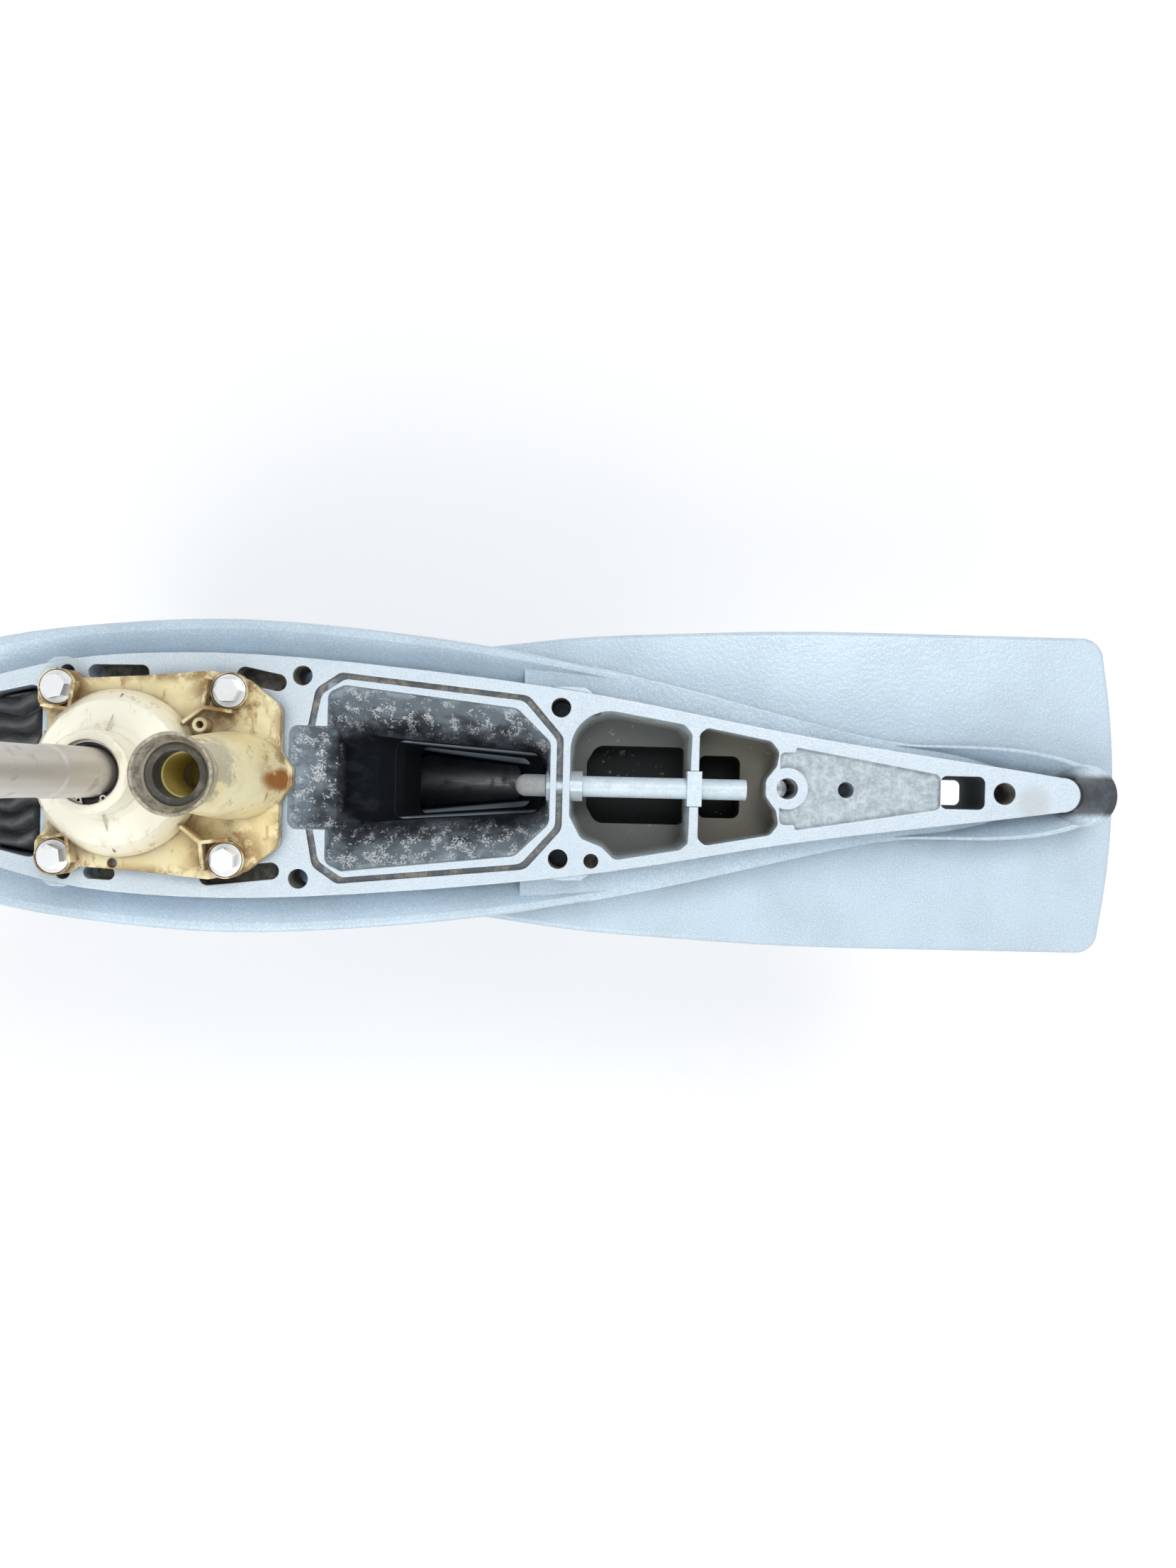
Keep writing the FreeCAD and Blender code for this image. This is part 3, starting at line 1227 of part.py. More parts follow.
def bearing_carrier():
    """Carrier of the propeller shaft: sealed front ring, long tube, and a rear flange with windows."""
    front = size.carrier_front
    back = front + size.carrier_ring_width
    rear = size.carrier_rear
    ring_radius = size.carrier_ring_radius
    groove = 2.8
    bearing = size.ball_bearing_radius + 0.05
    needle = size.rear_bearing_radius + 0.05
    seal = size.rear_seal_radius
    tube_radius = size.carrier_tube_radius
    needle_end = rear - 24.8
    corners = [
        (bearing, front), (ring_radius, front), (ring_radius, front + 7), (ring_radius - groove, front + 7),
        (ring_radius - groove, front + 11), (ring_radius, front + 11), (ring_radius, front + 19),
        (ring_radius - groove, front + 19), (ring_radius - groove, front + 23), (ring_radius, front + 23),
        (ring_radius, back), (tube_radius + 8, back), (tube_radius, back + 14), (tube_radius, rear - 12),
        (ring_radius + 0.8, rear - 10), (ring_radius + 0.8, rear), (seal, rear), (seal, rear - 24.3),
        (needle, needle_end), (needle, rear - 57.3), (19, rear - 57.3), (19, front + 40),
        (24, front + 26), (bearing - 6, front + 24.1), (bearing, front + 24.1)]
    body = revolved("bearing_carrier", corners)
    doc.recompute()
    window = sketch_in(body, "XY_Plane", rear + 1)
    inner = mm.carrier_tube_radius + 3
    outer = mm.carrier_ring_radius - 5
    points = []
    for radius, turn in ((inner, -38), (outer, -38), (outer, 38), (inner, 38)):
        points.append(Vector(radius * math.cos(math.radians(turn)), radius * math.sin(math.radians(turn)), 0))
    far = Part.Arc(points[1], Vector(outer, 0, 0), points[2])
    near = Part.Arc(points[3], Vector(inner, 0, 0), points[0])
    for curve in (Part.LineSegment(points[0], points[1]), far, Part.LineSegment(points[2], points[3]), near):
        window.addGeometry(curve)
    cut = pocket(body, window, 22)
    repeated(body, cut, 3)
    keep(body, "bearing_carrier", on_prop_axis())
    rings = []
    for start in (7, 19):
        low = mm.carrier_front + start
        rings.append(tube(mm.carrier_ring_radius - groove + 0.05, mm.carrier_ring_radius - 0.02, low + 0.2, low + 3.8))
    feature("carrier_o_rings", Part.makeCompound(rings), on_prop_axis())


def carrier_nut():
    """Lock washer and ring nut that hold the carrier."""
    rear = mm.carrier_rear
    washer = tube(40, mm.ring_nut_radius - 1, rear + 0.05, rear + 1.9)
    tab = box((38, -6, rear + 0.05), (44, 6, rear + 1.9))
    feature("carrier_lock_washer", washer.fuse(tab), on_prop_axis())
    body = revolved("carrier_ring_nut", [
        (44, size.carrier_rear + 2), (size.ring_nut_radius, size.carrier_rear + 2),
        (size.ring_nut_radius, size.carrier_rear + 2 + size.ring_nut_width),
        (44, size.carrier_rear + 2 + size.ring_nut_width)])
    sketch = sketch_in(body, "XY_Plane", size.carrier_rear + 2 + size.ring_nut_width)
    draw_polygon(sketch, [(42, -4.5), (51, -4.5), (51, 4.5), (42, 4.5)])
    cut = pocket(body, sketch, 7)
    repeated(body, cut, 4)
    keep(body, "carrier_ring_nut", on_prop_axis())


# Water pump


def pump_outline(z, grow=0.0):
    """Outline of the pump's base, which its gasket and plate share."""
    corners = [(-44.5, 34, 3), (-50.8, 42, 4), (-50.5, 61.5, 9), (-31, 61, 4), (-25, 56.5, 4), (12, 58.6, 8),
               (54, 62.6, 6), (75, 58, 8), (95, 42, 7), (95, 15, 4), (102.5, 5, 5)]
    return rounded_wire([(x, y + grow, radius) for x, y, radius in mirrored(corners)], z)


def pump_base_holes(low, high):
    cuts = [cylinder(mm.pump_bolt_radius + 0.3, low - 1, high + 1, x, y) for x, y in pump_bolt_places()]
    return cuts


def pump_plates():
    """Gasket and wear plate under the pump."""
    low = 0.02
    for label, start, height, bore in (("pump_base_gasket", low, mm.pump_gasket - low, 30),
                                       ("pump_wear_plate", mm.pump_gasket, mm.wear_plate, 16)):
        sheet_shape = Part.Face(pump_outline(start)).extrude(Vector(0, 0, height))
        cuts = pump_base_holes(start, start + height) + [cylinder(bore, start - 1, start + height + 1)]
        cuts.append(slot_hole(start, height))
        feature(label, sheet_shape.cut(cuts))


def slot_hole(start, height):
    """Water inlet through the plates, ahead of the impeller."""
    return box((-38, -12, start - 1), (-32, 12, start + height + 1))


def turned_shape(corners):
    points = [Vector(radius, 0, height) for radius, height in corners]
    return Part.Face(Part.makePolygon(points + points[:1])).revolve(Vector(0, 0, 0), UP, 360)


def wedge(turn, start, end, width, heights):
    """Ridge on the dome that narrows and falls outwards from the collar."""
    ends = []
    for radius, half, (low, high) in ((start, width / 2, heights[0]), (end, width / 10, heights[1])):
        points = [Vector(radius, -half, low), Vector(radius, half, low), Vector(radius, 0, high)]
        ends.append(Part.makePolygon(points + points[:1]))
    ridge = loft(ends, True)
    ridge.rotate(Vector(0, 0, 0), UP, turn)
    return ridge


def bracket(x, y, low, high):
    """Two thin walls that meet between a pump bolt and the dome, and the rib behind their corner."""
    half = 1.1
    length = mm.bracket_reach
    inward = math.degrees(math.atan2(-y, -x))
    walls = []
    for turn, reach in ((inward + 135, length), (inward - 135, length), (inward, 0.9 * length)):
        wall = box((-half, -half, low), (reach, half, high))
        wall.rotate(Vector(0, 0, 0), UP, turn)
        wall.translate(Vector(x, y, 0) + Rotation(UP, inward).multVec(Vector(length, 0, 0)))
        walls.append(wall)
    return walls


def pump_housing():
    base = mm.pump_gasket + mm.wear_plate
    deck = base + mm.flange_thickness
    flange = Part.Face(pump_outline(base)).extrude(Vector(0, 0, mm.flange_thickness))
    dome = mm.dome_radius
    top = mm.dome_top
    shell = turned_shape([(0, base), (dome, base), (dome, deck + 4), (dome - 2, deck + 9), (dome - 7, top - 5),
                          (dome - 15, top - 1), (mm.collar_radius + 4, top + 1), (mm.collar_radius + 0.8, top + 4),
                          (mm.collar_radius, mm.collar_top - 1), (mm.collar_radius - 1, mm.collar_top),
                          (0, mm.collar_top)])
    horn_x = mm.horn_x
    wide = Part.Wire(Part.Ellipse(Vector(67, 0, deck - 1), 34, 27).toShape())
    middle = Part.Wire(Part.Ellipse(Vector(62, 0, deck + 26), 27, 24).toShape())
    neck = Part.Wire(Part.Ellipse(Vector(horn_x, 0, mm.horn_top - 18), 20, 19.99).toShape())
    elbow = loft([wide, middle, neck], False)
    horn = Part.makeCone(19.8, mm.horn_radius, 18.5, Vector(horn_x, 0, mm.horn_top - 18.5), UP)
    solids = [shell, elbow, horn]
    for x, y in pump_bolt_places():
        solids.append(cylinder(11.3, base, deck + 4, x, y))
        solids += bracket(x, y, deck - 1, deck + mm.bracket_height)
    for turn in (84, -87, 150, -152):
        solids.append(wedge(turn, mm.collar_radius - 1, dome - 3, 10, ((top - 4, top + 7), (deck, top - 9))))
    post = (50.8, 29.5)
    solids.append(cylinder(4.4, base, deck + 13, *post))
    housing = flange.multiFuse(solids)
    cup = mm.cup_radius + mm.seat_clearance
    collar_floor = mm.collar_top - 16
    funnel = mm.horn_top - mm.horn_funnel
    cuts = [cylinder(cup, base - 1, base + mm.cup_height + 0.1), cylinder(mm.shaft_radius + 1.5, base, 70),
            cylinder(mm.collar_bore, collar_floor, 70), cylinder(mm.horn_bore, funnel - 14, funnel + 1, horn_x),
            Part.makeCone(mm.horn_bore, mm.horn_radius - 1.8, mm.horn_funnel, Vector(horn_x, 0, funnel), UP),
            cylinder(12, base + 6, 90, horn_x), cylinder(2.2, deck, 40, *post),
            cylinder(3, base - 1, deck + 1, -4, -54)]
    groove = tube(mm.collar_bore - 1, mm.collar_bore + 1.2, mm.collar_top - 5, mm.collar_top - 3)
    cuts.append(groove)
    cuts.append(along_x(9, mm.cup_radius - 6, horn_x, 0, base + 15))
    for x, y in pump_bolt_places():
        cuts.append(cylinder(mm.pump_bolt_radius + 0.3, base - 1, deck + 5, x, y))
        cuts.append(cylinder(mm.washer_radius + 0.4, deck + 2, deck + 30, x, y))
    feature("water_pump_housing", housing.cut(cuts))


def pump_inside():
    """Insert cup, impeller and the collar's seal and circlip."""
    base = mm.pump_gasket + mm.wear_plate
    wall = mm.cup_radius - 2
    cup = cylinder(mm.cup_radius, base + 0.05, base + mm.cup_height)
    cup = cup.cut([cylinder(wall, base, base + mm.cup_height - 2), cylinder(mm.shaft_radius + 1.5, 0, 60)])
    outlet = along_x(8, wall - 8, mm.cup_radius + 4, 0, base + 12)
    feature("pump_insert_cup", cup.cut(outlet))
    low = base + 0.5
    high = low + mm.impeller_height
    hub = cylinder(22, low, high)
    vanes = []
    for index in range(int(mm.impeller_vanes)):
        vane = box((20, -2, low), (wall - 3.6, 2, high))
        tip = cylinder(3.1, low, high, wall - 3.6)
        for item in (vane, tip):
            item.rotate(Vector(0, 0, 0), UP, 30 + index * 360 / mm.impeller_vanes)
            vanes.append(item)
    wheel = hub.multiFuse(vanes)
    keyway = box((10, -2.5, low + 2.45), (mm.shaft_radius + 2.3, 2.5, low + 15.6))
    feature("impeller", wheel.cut([cylinder(mm.shaft_radius + mm.seat_clearance, low - 1, high + 1), keyway]))
    floor = mm.collar_top - 16
    turned("pump_collar_seal", lip_seal(size.shaft_radius, size.collar_bore - 0.05, floor + 0.1, floor + 10.8))
    clip = tube(mm.collar_bore - 1.4, mm.collar_bore + 1.1, mm.collar_top - 4.9, mm.collar_top - 3.1)
    clip = clip.cut(box((-3, -30, 0), (6, -10, 90)))
    for x in (-5.4, 8.4):
        y = -math.sqrt((mm.collar_bore - 1.6) ** 2 - x * x)
        eye = cylinder(2.0, mm.collar_top - 4.9, mm.collar_top - 3.1, x, y)
        clip = clip.fuse(eye).cut(cylinder(0.9, 0, 90, x, y))
    clip = clip.cut(cylinder(mm.shaft_radius + 0.3, 0, 90))
    feature("collar_circlip", clip)
    rim = size.horn_top - size.horn_funnel
    turned("water_tube_seal", [
        (size.water_tube_radius, rim - 13.9), (size.horn_bore - 0.1, rim - 13.9),
        (size.horn_bore - 0.1, rim), (size.horn_bore - 1.6, rim + 1),
        (size.water_tube_radius, rim - 0.4)], Placement(Vector(mm.horn_x, 0, 0), Rotation()))


def pump_fasteners():
    base = mm.pump_gasket + mm.wear_plate + mm.flange_thickness + 2
    head_low = base + mm.washer_thickness
    body = new_body("bolt_pattern_part")
    sketch = sketch_in(body, "XY_Plane", 0)
    draw_polygon(sketch, hexagon(size.bolt_flats))
    pad(body, sketch, size.bolt_head)
    doc.recompute()
    shank = sketch_in(body, "XY_Plane", -30)
    draw_circle(shank, 0, 0, size.pump_bolt_radius)
    pad(body, shank, 30.5)
    doc.recompute()
    places = pump_bolt_places()
    spots = [Placement(Vector(x, y, head_low + 0.02), Rotation(UP, 12 + 25 * number))
             for number, (x, y) in enumerate(places)]
    feature("pump_bolts", copies(body.Shape, spots))
    washer = revolved("washer_part", [
        (size.pump_bolt_radius + 0.2, 0), (size.washer_radius, 0), (size.washer_radius, size.washer_thickness),
        (size.pump_bolt_radius + 0.2, size.washer_thickness)])
    spots = [Placement(Vector(x, y, base + 0.01), Rotation()) for x, y in places]
    feature("pump_washers", copies(washer.Shape, spots))


# Small parts on the gearcase


def front_rubber():
    """Ribbed rubber piece in the front recess, its ribs round the shift rod."""
    block = prism(inner_ring(FRONT_RECESS, 0.5), -mm.recess_depth + 0.3, 1.5)
    cuts = [cylinder(mm.rod_radius + 6.3, -60, 30, -mm.rod_x)]
    for radius in (20, 30, 40, 50, 60):
        groove = tube(radius, radius + 5, -5, 10)
        groove.translate(Vector(-mm.rod_x, 0, 0))
        cuts.append(groove)
    x = mm.screen_x
    cuts.append(box((x - 14, -8, -60), (x - 2, 8, -10)))
    feature("front_rubber_seal", block.cut(cuts))


def rod_bushing():
    low = -size.recess_depth - 7.9
    turned("shift_rod_bushing", [
        (size.rod_radius + 0.05, low), (11.95, low), (11.95, 2), (9, 5), (size.rod_radius + 0.05, 5)],
        Placement(Vector(-mm.rod_x, 0, 0), Rotation()))


def crossing_tube():
    """Tube that runs from the exhaust cavity across both rear cavities."""
    z = -mm.tube_depth
    place = Placement(Vector(0, mm.tube_y, z), Rotation(Vector(0, 1, 0), 90))
    radius = size.tube_radius
    start = size.tube_boss_front
    ring("crossing_tube", radius - 1.4, radius, start + 0.2, 377, place)
    bend = (242, mm.tube_y, z)
    bodies = []
    for outside in (6.8, 4.8):
        bent = along_x(outside, bend[0], mm.tube_boss_front - 0.3, mm.tube_y, z)
        bent = bent.fuse(cylinder(outside, -34, z, bend[0], mm.tube_y))
        bodies.append(bent.fuse(Part.makeSphere(outside, Vector(*bend))))
    elbow = bodies[0].cut(bodies[1])
    feature("crossing_tube_elbow", elbow)
    clip = box((340.3, mm.tube_y - 10.7, z - 8.7), (349.2, mm.tube_y + 10.7, -0.3))
    feature("crossing_tube_clip", clip.cut(along_x(mm.tube_radius + mm.seat_clearance, 330, 360, mm.tube_y, z)))


def trim_tab():
    """Anode with a round head under the plate and a fin below, and its bolt."""
    top = plate_bottom() - mm.rest_gap
    head = cylinder(mm.tab_radius, top - 12, top)
    fin_top = outline(LEG_FORM, -10, 72, 7, top - 8)
    fin_low = outline(LEG_FORM, 14, 66, 4, -mm.tab_fin_depth)
    fin = loft([fin_top, fin_low], True)
    bolt = mm.tab_bolt_radius
    tab = head.fuse(fin).cut([cylinder(bolt + 0.1, -400, 0), cylinder(9.3, -400, top - 5)])
    feature("trim_tab_anode", tab, Placement(Vector(mm.tab_x, 0, 0), Rotation()))
    body = new_body("trim_tab_bolt")
    head_top = plate_bottom() - mm.rest_gap - 5.05
    sketch = sketch_in(body, "XY_Plane", head_top - 6)
    draw_polygon(sketch, hexagon(size.bolt_flats))
    pad(body, sketch, 6)
    doc.recompute()
    shank = sketch_in(body, "XY_Plane", head_top - 0.5)
    draw_circle(shank, 0, 0, size.tab_bolt_radius)
    pad(body, shank, size.plate_thickness + 14)
    doc.recompute()
    keep(body, "trim_tab_bolt", Placement(Vector(mm.tab_x, 0, 0), Rotation()))


def oil_plugs():
    """Drain and level plugs on the starboard side, with gaskets under their heads."""
    gaskets = []
    for label, (x, depth, seat) in zip(("oil_drain_plug", "oil_level_plug"), plug_places()):
        sideways = Placement(Vector(x, seat, -depth), Rotation(UP, Vector(0, 1, 0)))
        head = size.plug_gasket + 0.04
        corners = [(0, -14), (size.plug_radius - 0.6, -14), (size.plug_radius, -13), (size.plug_radius, head),
                   (size.plug_head_radius, head), (size.plug_head_radius, head + 3.4),
                   (size.plug_head_radius - 1.4, head + 4.6), (0, head + 4.6)]
        body = revolved(label, corners)
        sketch = sketch_in(body, "XY_Plane", head + 4.6)
        draw_polygon(sketch, [(-7, -1), (7, -1), (7, 1), (-7, 1)])
        pocket(body, sketch, 2.2)
        keep(body, label, sideways)
        gasket = tube(mm.plug_radius + 0.1, mm.plug_head_radius, 0.02, mm.plug_gasket)
        gasket.Placement = sideways
        gaskets.append(gasket)
    feature("oil_plug_gaskets", Part.makeCompound(gaskets))


def inlet_screens():
    """Slotted screens in the leg's sides, each held by a screw."""
    screens = []
    screws = []
    half_x = mm.screen_width / 2
    half_z = mm.screen_height / 2
    thick = mm.screen_thickness
    for side in (1, -1):
        low, high = (0.1, thick) if side > 0 else (-thick, -0.1)
        plate = box((-half_x, low, -half_z), (half_x, high, half_z))
        cuts = []
        for row in range(-3, 4):
            if row == 0:
                continue
            z = row * mm.screen_height / 8
            cuts.append(box((-half_x + 4, -9, z - 1.6), (half_x - 4, 9, z + 1.6)))
        cuts.append(Part.makeCylinder(2.3, 30, Vector(0, -15, 0), Vector(0, 1, 0)))
        plate = plate.cut(cuts)
        plate.Placement = screen_placement(side)
        screens.append(plate)
        face = side * (thick + 0.02)
        head = Part.makeCylinder(4.6, 2.4, Vector(0, face, 0), Vector(0, side, 0))
        shank = Part.makeCylinder(2.2, thick + 2, Vector(0, face + side * 0.5, 0), Vector(0, -side, 0))
        screw = head.fuse(shank)
        screw.Placement = screen_placement(side)
        screws.append(screw)
    feature("water_inlet_screens", Part.makeCompound(screens))
    feature("inlet_screen_screws", Part.makeCompound(screws))


def check_and_write():
    """Stops if any object failed, then writes each sub-part."""
    doc.recompute()
    for item in doc.Objects:
        if "Invalid" in item.State or "Error" in item.State:
            raise RuntimeError(f"{item.Label} failed: {item.State}")
    os.makedirs("parts", exist_ok=True)
    for item in nodes:
        if item.Shape.isNull() or not item.Shape.isValid() or not item.Shape.Solids:
            raise RuntimeError(f"{item.Label} has no valid shape")
        item.Shape.exportStep(os.path.join("parts", item.Label + ".step"))


gearcase()
gears()
driveshaft()
impeller_key()
pinion_nut()
shift_rod()
propeller_shaft()
clutch()
shift_slider()
bearings()
seals()
bearing_carrier()
carrier_nut()
pump_plates()
pump_housing()
pump_inside()
pump_fasteners()
front_rubber()
rod_bushing()
crossing_tube()
trim_tab()
oil_plugs()
inlet_screens()
check_and_write()
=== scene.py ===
import math

import bpy
import numpy as np
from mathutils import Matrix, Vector


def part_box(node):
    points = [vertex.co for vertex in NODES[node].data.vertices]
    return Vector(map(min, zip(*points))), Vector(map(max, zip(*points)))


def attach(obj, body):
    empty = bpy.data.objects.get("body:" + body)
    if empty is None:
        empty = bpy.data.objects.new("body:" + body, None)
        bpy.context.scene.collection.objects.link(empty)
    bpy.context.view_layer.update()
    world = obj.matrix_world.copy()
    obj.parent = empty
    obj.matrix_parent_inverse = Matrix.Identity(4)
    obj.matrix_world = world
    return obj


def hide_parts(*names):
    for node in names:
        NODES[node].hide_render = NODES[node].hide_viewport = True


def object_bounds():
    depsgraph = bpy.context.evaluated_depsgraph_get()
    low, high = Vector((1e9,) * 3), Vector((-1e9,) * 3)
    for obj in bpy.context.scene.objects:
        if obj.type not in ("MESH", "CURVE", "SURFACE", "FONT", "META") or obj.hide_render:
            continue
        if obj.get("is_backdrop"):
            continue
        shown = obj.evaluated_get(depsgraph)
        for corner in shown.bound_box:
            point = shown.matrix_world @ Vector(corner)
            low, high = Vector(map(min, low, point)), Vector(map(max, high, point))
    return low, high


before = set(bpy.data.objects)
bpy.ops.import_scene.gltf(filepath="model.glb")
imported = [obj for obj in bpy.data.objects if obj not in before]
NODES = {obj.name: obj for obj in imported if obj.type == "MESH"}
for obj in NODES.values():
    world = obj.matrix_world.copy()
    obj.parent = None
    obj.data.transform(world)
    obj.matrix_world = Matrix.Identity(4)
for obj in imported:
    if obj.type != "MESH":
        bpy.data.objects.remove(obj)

bl_info = {
    "name": "Outboard lower unit",
    "version": (1, 0, 0),
    "blender": (4, 5, 0),
    "location": "View3D > Sidebar > Lower unit",
    "description": "Finishes and small pieces of an outboard motor's lower unit",
    "category": "Object",
}

# The frame is in metres: +X aft, +Y starboard, +Z up, the deck at zero.
PHOTO_WIDTH = 1659
FOCAL_PIXELS = 1662
SENSOR_WIDTH = 36
SHAFT_PITCH = 0.002

# Hollows of the casting: the two ends along x, the half widths there, and the two heights.
SHALLOW = (-0.042, -0.0007)
UPPER, MIDDLE, LOWER = (-0.050, -0.0007), (-0.085, -0.0497), (-0.215, -0.0847)
GASKET_GROOVE = ((0.1085, 0.2650), (0.0665, 0.0535), (-0.0036, -0.0004))
EXHAUST_BOWL = (
    ((0.0965, 0.1245), (0.0323, 0.0323), UPPER),
    ((0.1205, 0.2375), (0.0582, 0.0462), UPPER),
    ((0.2365, 0.2585), (0.0464, 0.0265), UPPER),
    ((0.1205, 0.2585), (0.0275, 0.0170), MIDDLE),
    ((0.1205, 0.2585), (0.0262, 0.0105), LOWER),
)
LARGE_CAVITY = ((0.2680, 0.3445), (0.0500, 0.0378), (-0.052, -0.0008))
SMALL_CAVITY = ((0.3455, 0.3975), (0.0372, 0.0275), (-0.052, -0.0008))
CAST_RECESS = ((0.3965, 0.4945), (0.0262, 0.0112), (-0.0036, -0.0004))
SQUARE_WINDOW = ((0.4955, 0.5320), (0.0115, 0.0115), (-0.0595, -0.0007))
TAIL_SLOPE = ((0.5760, 0.6150), (0.0125, 0.0125), (-0.052, -0.0010))
SIDE_SLOTS = ((-0.022, 0.0985), (0.0670, 0.0670), SHALLOW)
FRONT_POCKET = ((-0.131, -0.050), (0.0185, 0.0555), SHALLOW)
DECK_HEIGHTS = (-0.0006, 0.004)

# Spots seen from above: x and y of the middle. Holes have a radius too.
BARE_TAIL = (0.5505, -0.005)
DECK_HOLES = (
    ((-0.112, 0.032), 0.0068), ((0.1053, 0.0617), 0.0068), ((0.2627, 0.046), 0.0068),
    ((0.533, 0.0), 0.0075), ((0.401, 0.0), 0.0072), ((0.2828, 0.0468), 0.0052),
)
PUMP_FRONT_BOLTS = (-0.038, 0.0506)
PUMP_REAR_BOLTS = (0.0648, 0.0504)
PUMP_RUST = (0.0975, -0.0016)
FLOOR_MIDDLE = (0.28, 0.0)

TINTS = {
    "machined deck": (0.66, 0.74, 0.80),
    "pale flake": (0.88, 0.94, 0.98),
    "dark flake": (0.32, 0.40, 0.48),
    "bare alloy": (0.52, 0.56, 0.58),
    "rubbed paint and edge highlight": (0.84, 0.90, 0.94),
    "soft shadow": (0.17, 0.22, 0.28),
    "casting grime and shade": (0.10, 0.12, 0.15),
    "dark deposit": (0.085, 0.095, 0.105),
    "dry deposit": (0.30, 0.27, 0.21),
    "mud": (0.085, 0.070, 0.050),
    "pocket": (0.10, 0.11, 0.12),
    "thin soot": (0.36, 0.44, 0.50),
    "soot": (0.17, 0.205, 0.235),
    "thick soot and shade": (0.060, 0.068, 0.078),
    "black soot and shade": (0.003, 0.003, 0.0035),
    "salt": (0.72, 0.76, 0.78),
    "large cavity wall": (0.40, 0.46, 0.48),
    "large cavity floor": (0.215, 0.225, 0.205),
    "large cavity depth": (0.016, 0.015, 0.011),
    "small cavity wall": (0.36, 0.39, 0.39),
    "small cavity floor": (0.20, 0.185, 0.14),
    "small cavity depth": (0.012, 0.008, 0.005),
    "cavity crust": (0.55, 0.56, 0.52),
    "dark pits": (0.36, 0.41, 0.44),
    "rough cast": (0.62, 0.70, 0.74),
    "window wall": (0.045, 0.055, 0.060),
    "dark slope reflection": (0.018, 0.022, 0.027),
    "paler slope reflection": (0.048, 0.058, 0.067),
    "aged plastic": (0.86, 0.72, 0.38),
    "lit dome plastic": (1.0, 0.985, 0.84),
    "bolt stain": (0.27, 0.145, 0.040),
    "brown streak": (0.40, 0.24, 0.07),
    "rust": (0.34, 0.14, 0.03),
    "horn scuff": (0.24, 0.235, 0.22),
    "dark rim": (0.17, 0.155, 0.13),
    "pale rim": (0.46, 0.42, 0.33),
    "pump grime and shade": (0.20, 0.115, 0.040),
    "rubbed plastic": (0.93, 0.88, 0.70),
    "stained edge": (0.38, 0.24, 0.10),
    "horn bottom": (0.66, 0.55, 0.16),
    "shaft steel": (0.66, 0.66, 0.64),
    "dull steel": (0.46, 0.45, 0.42),
    "steel stain": (0.30, 0.25, 0.19),
    "floor shade": (0.80, 0.80, 0.79),
    "white": (1.0, 1.0, 1.0),
    "black": (0.0, 0.0, 0.0),
}

# How far tool marks are drawn together along x, y and z: the largest number is across the marks.
TURNED = (40.0, 40.0, 2600.0)
TURNED_ALONG_X = (2600.0, 40.0, 40.0)
BRUSHED = (60.0, 1600.0, 60.0)
DRAWN = (240.0, 240.0, 9.0)
EVEN = (260.0, 260.0, 260.0)


# Surfaces


def surface_piece(name, x, y, z, wrap_rows=False, wrap_columns=False):
    """A mesh from a grid of points: rows and columns of x, y and z, joined by quads."""
    rows, columns = x.shape
    points = np.stack([x, y, z], axis=-1).reshape(-1, 3)
    index = np.arange(rows * columns).reshape(rows, columns)
    if wrap_rows:
        index = np.vstack([index, index[:1]])
    if wrap_columns:
        index = np.hstack([index, index[:, :1]])
    quads = np.stack([index[:-1, :-1], index[1:, :-1], index[1:, 1:], index[:-1, 1:]], axis=-1)
    quads = quads.reshape(-1, 4)
    mesh = bpy.data.meshes.new(name)
    mesh.from_pydata(points.tolist(), [], quads.tolist())
    mesh.polygons.foreach_set("use_smooth", np.ones(len(quads), dtype=bool))
    mesh.update()
    piece = bpy.data.objects.new(name, mesh)
    bpy.context.scene.collection.objects.link(piece)
    return piece


def stand_for(piece, body, material, *nodes):
    """The piece takes a material, rides on a body and replaces CAD nodes."""
    piece.data.materials.append(material)
    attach(piece, body)
    if nodes:
        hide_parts(*nodes)
    return piece


# Shader node groups


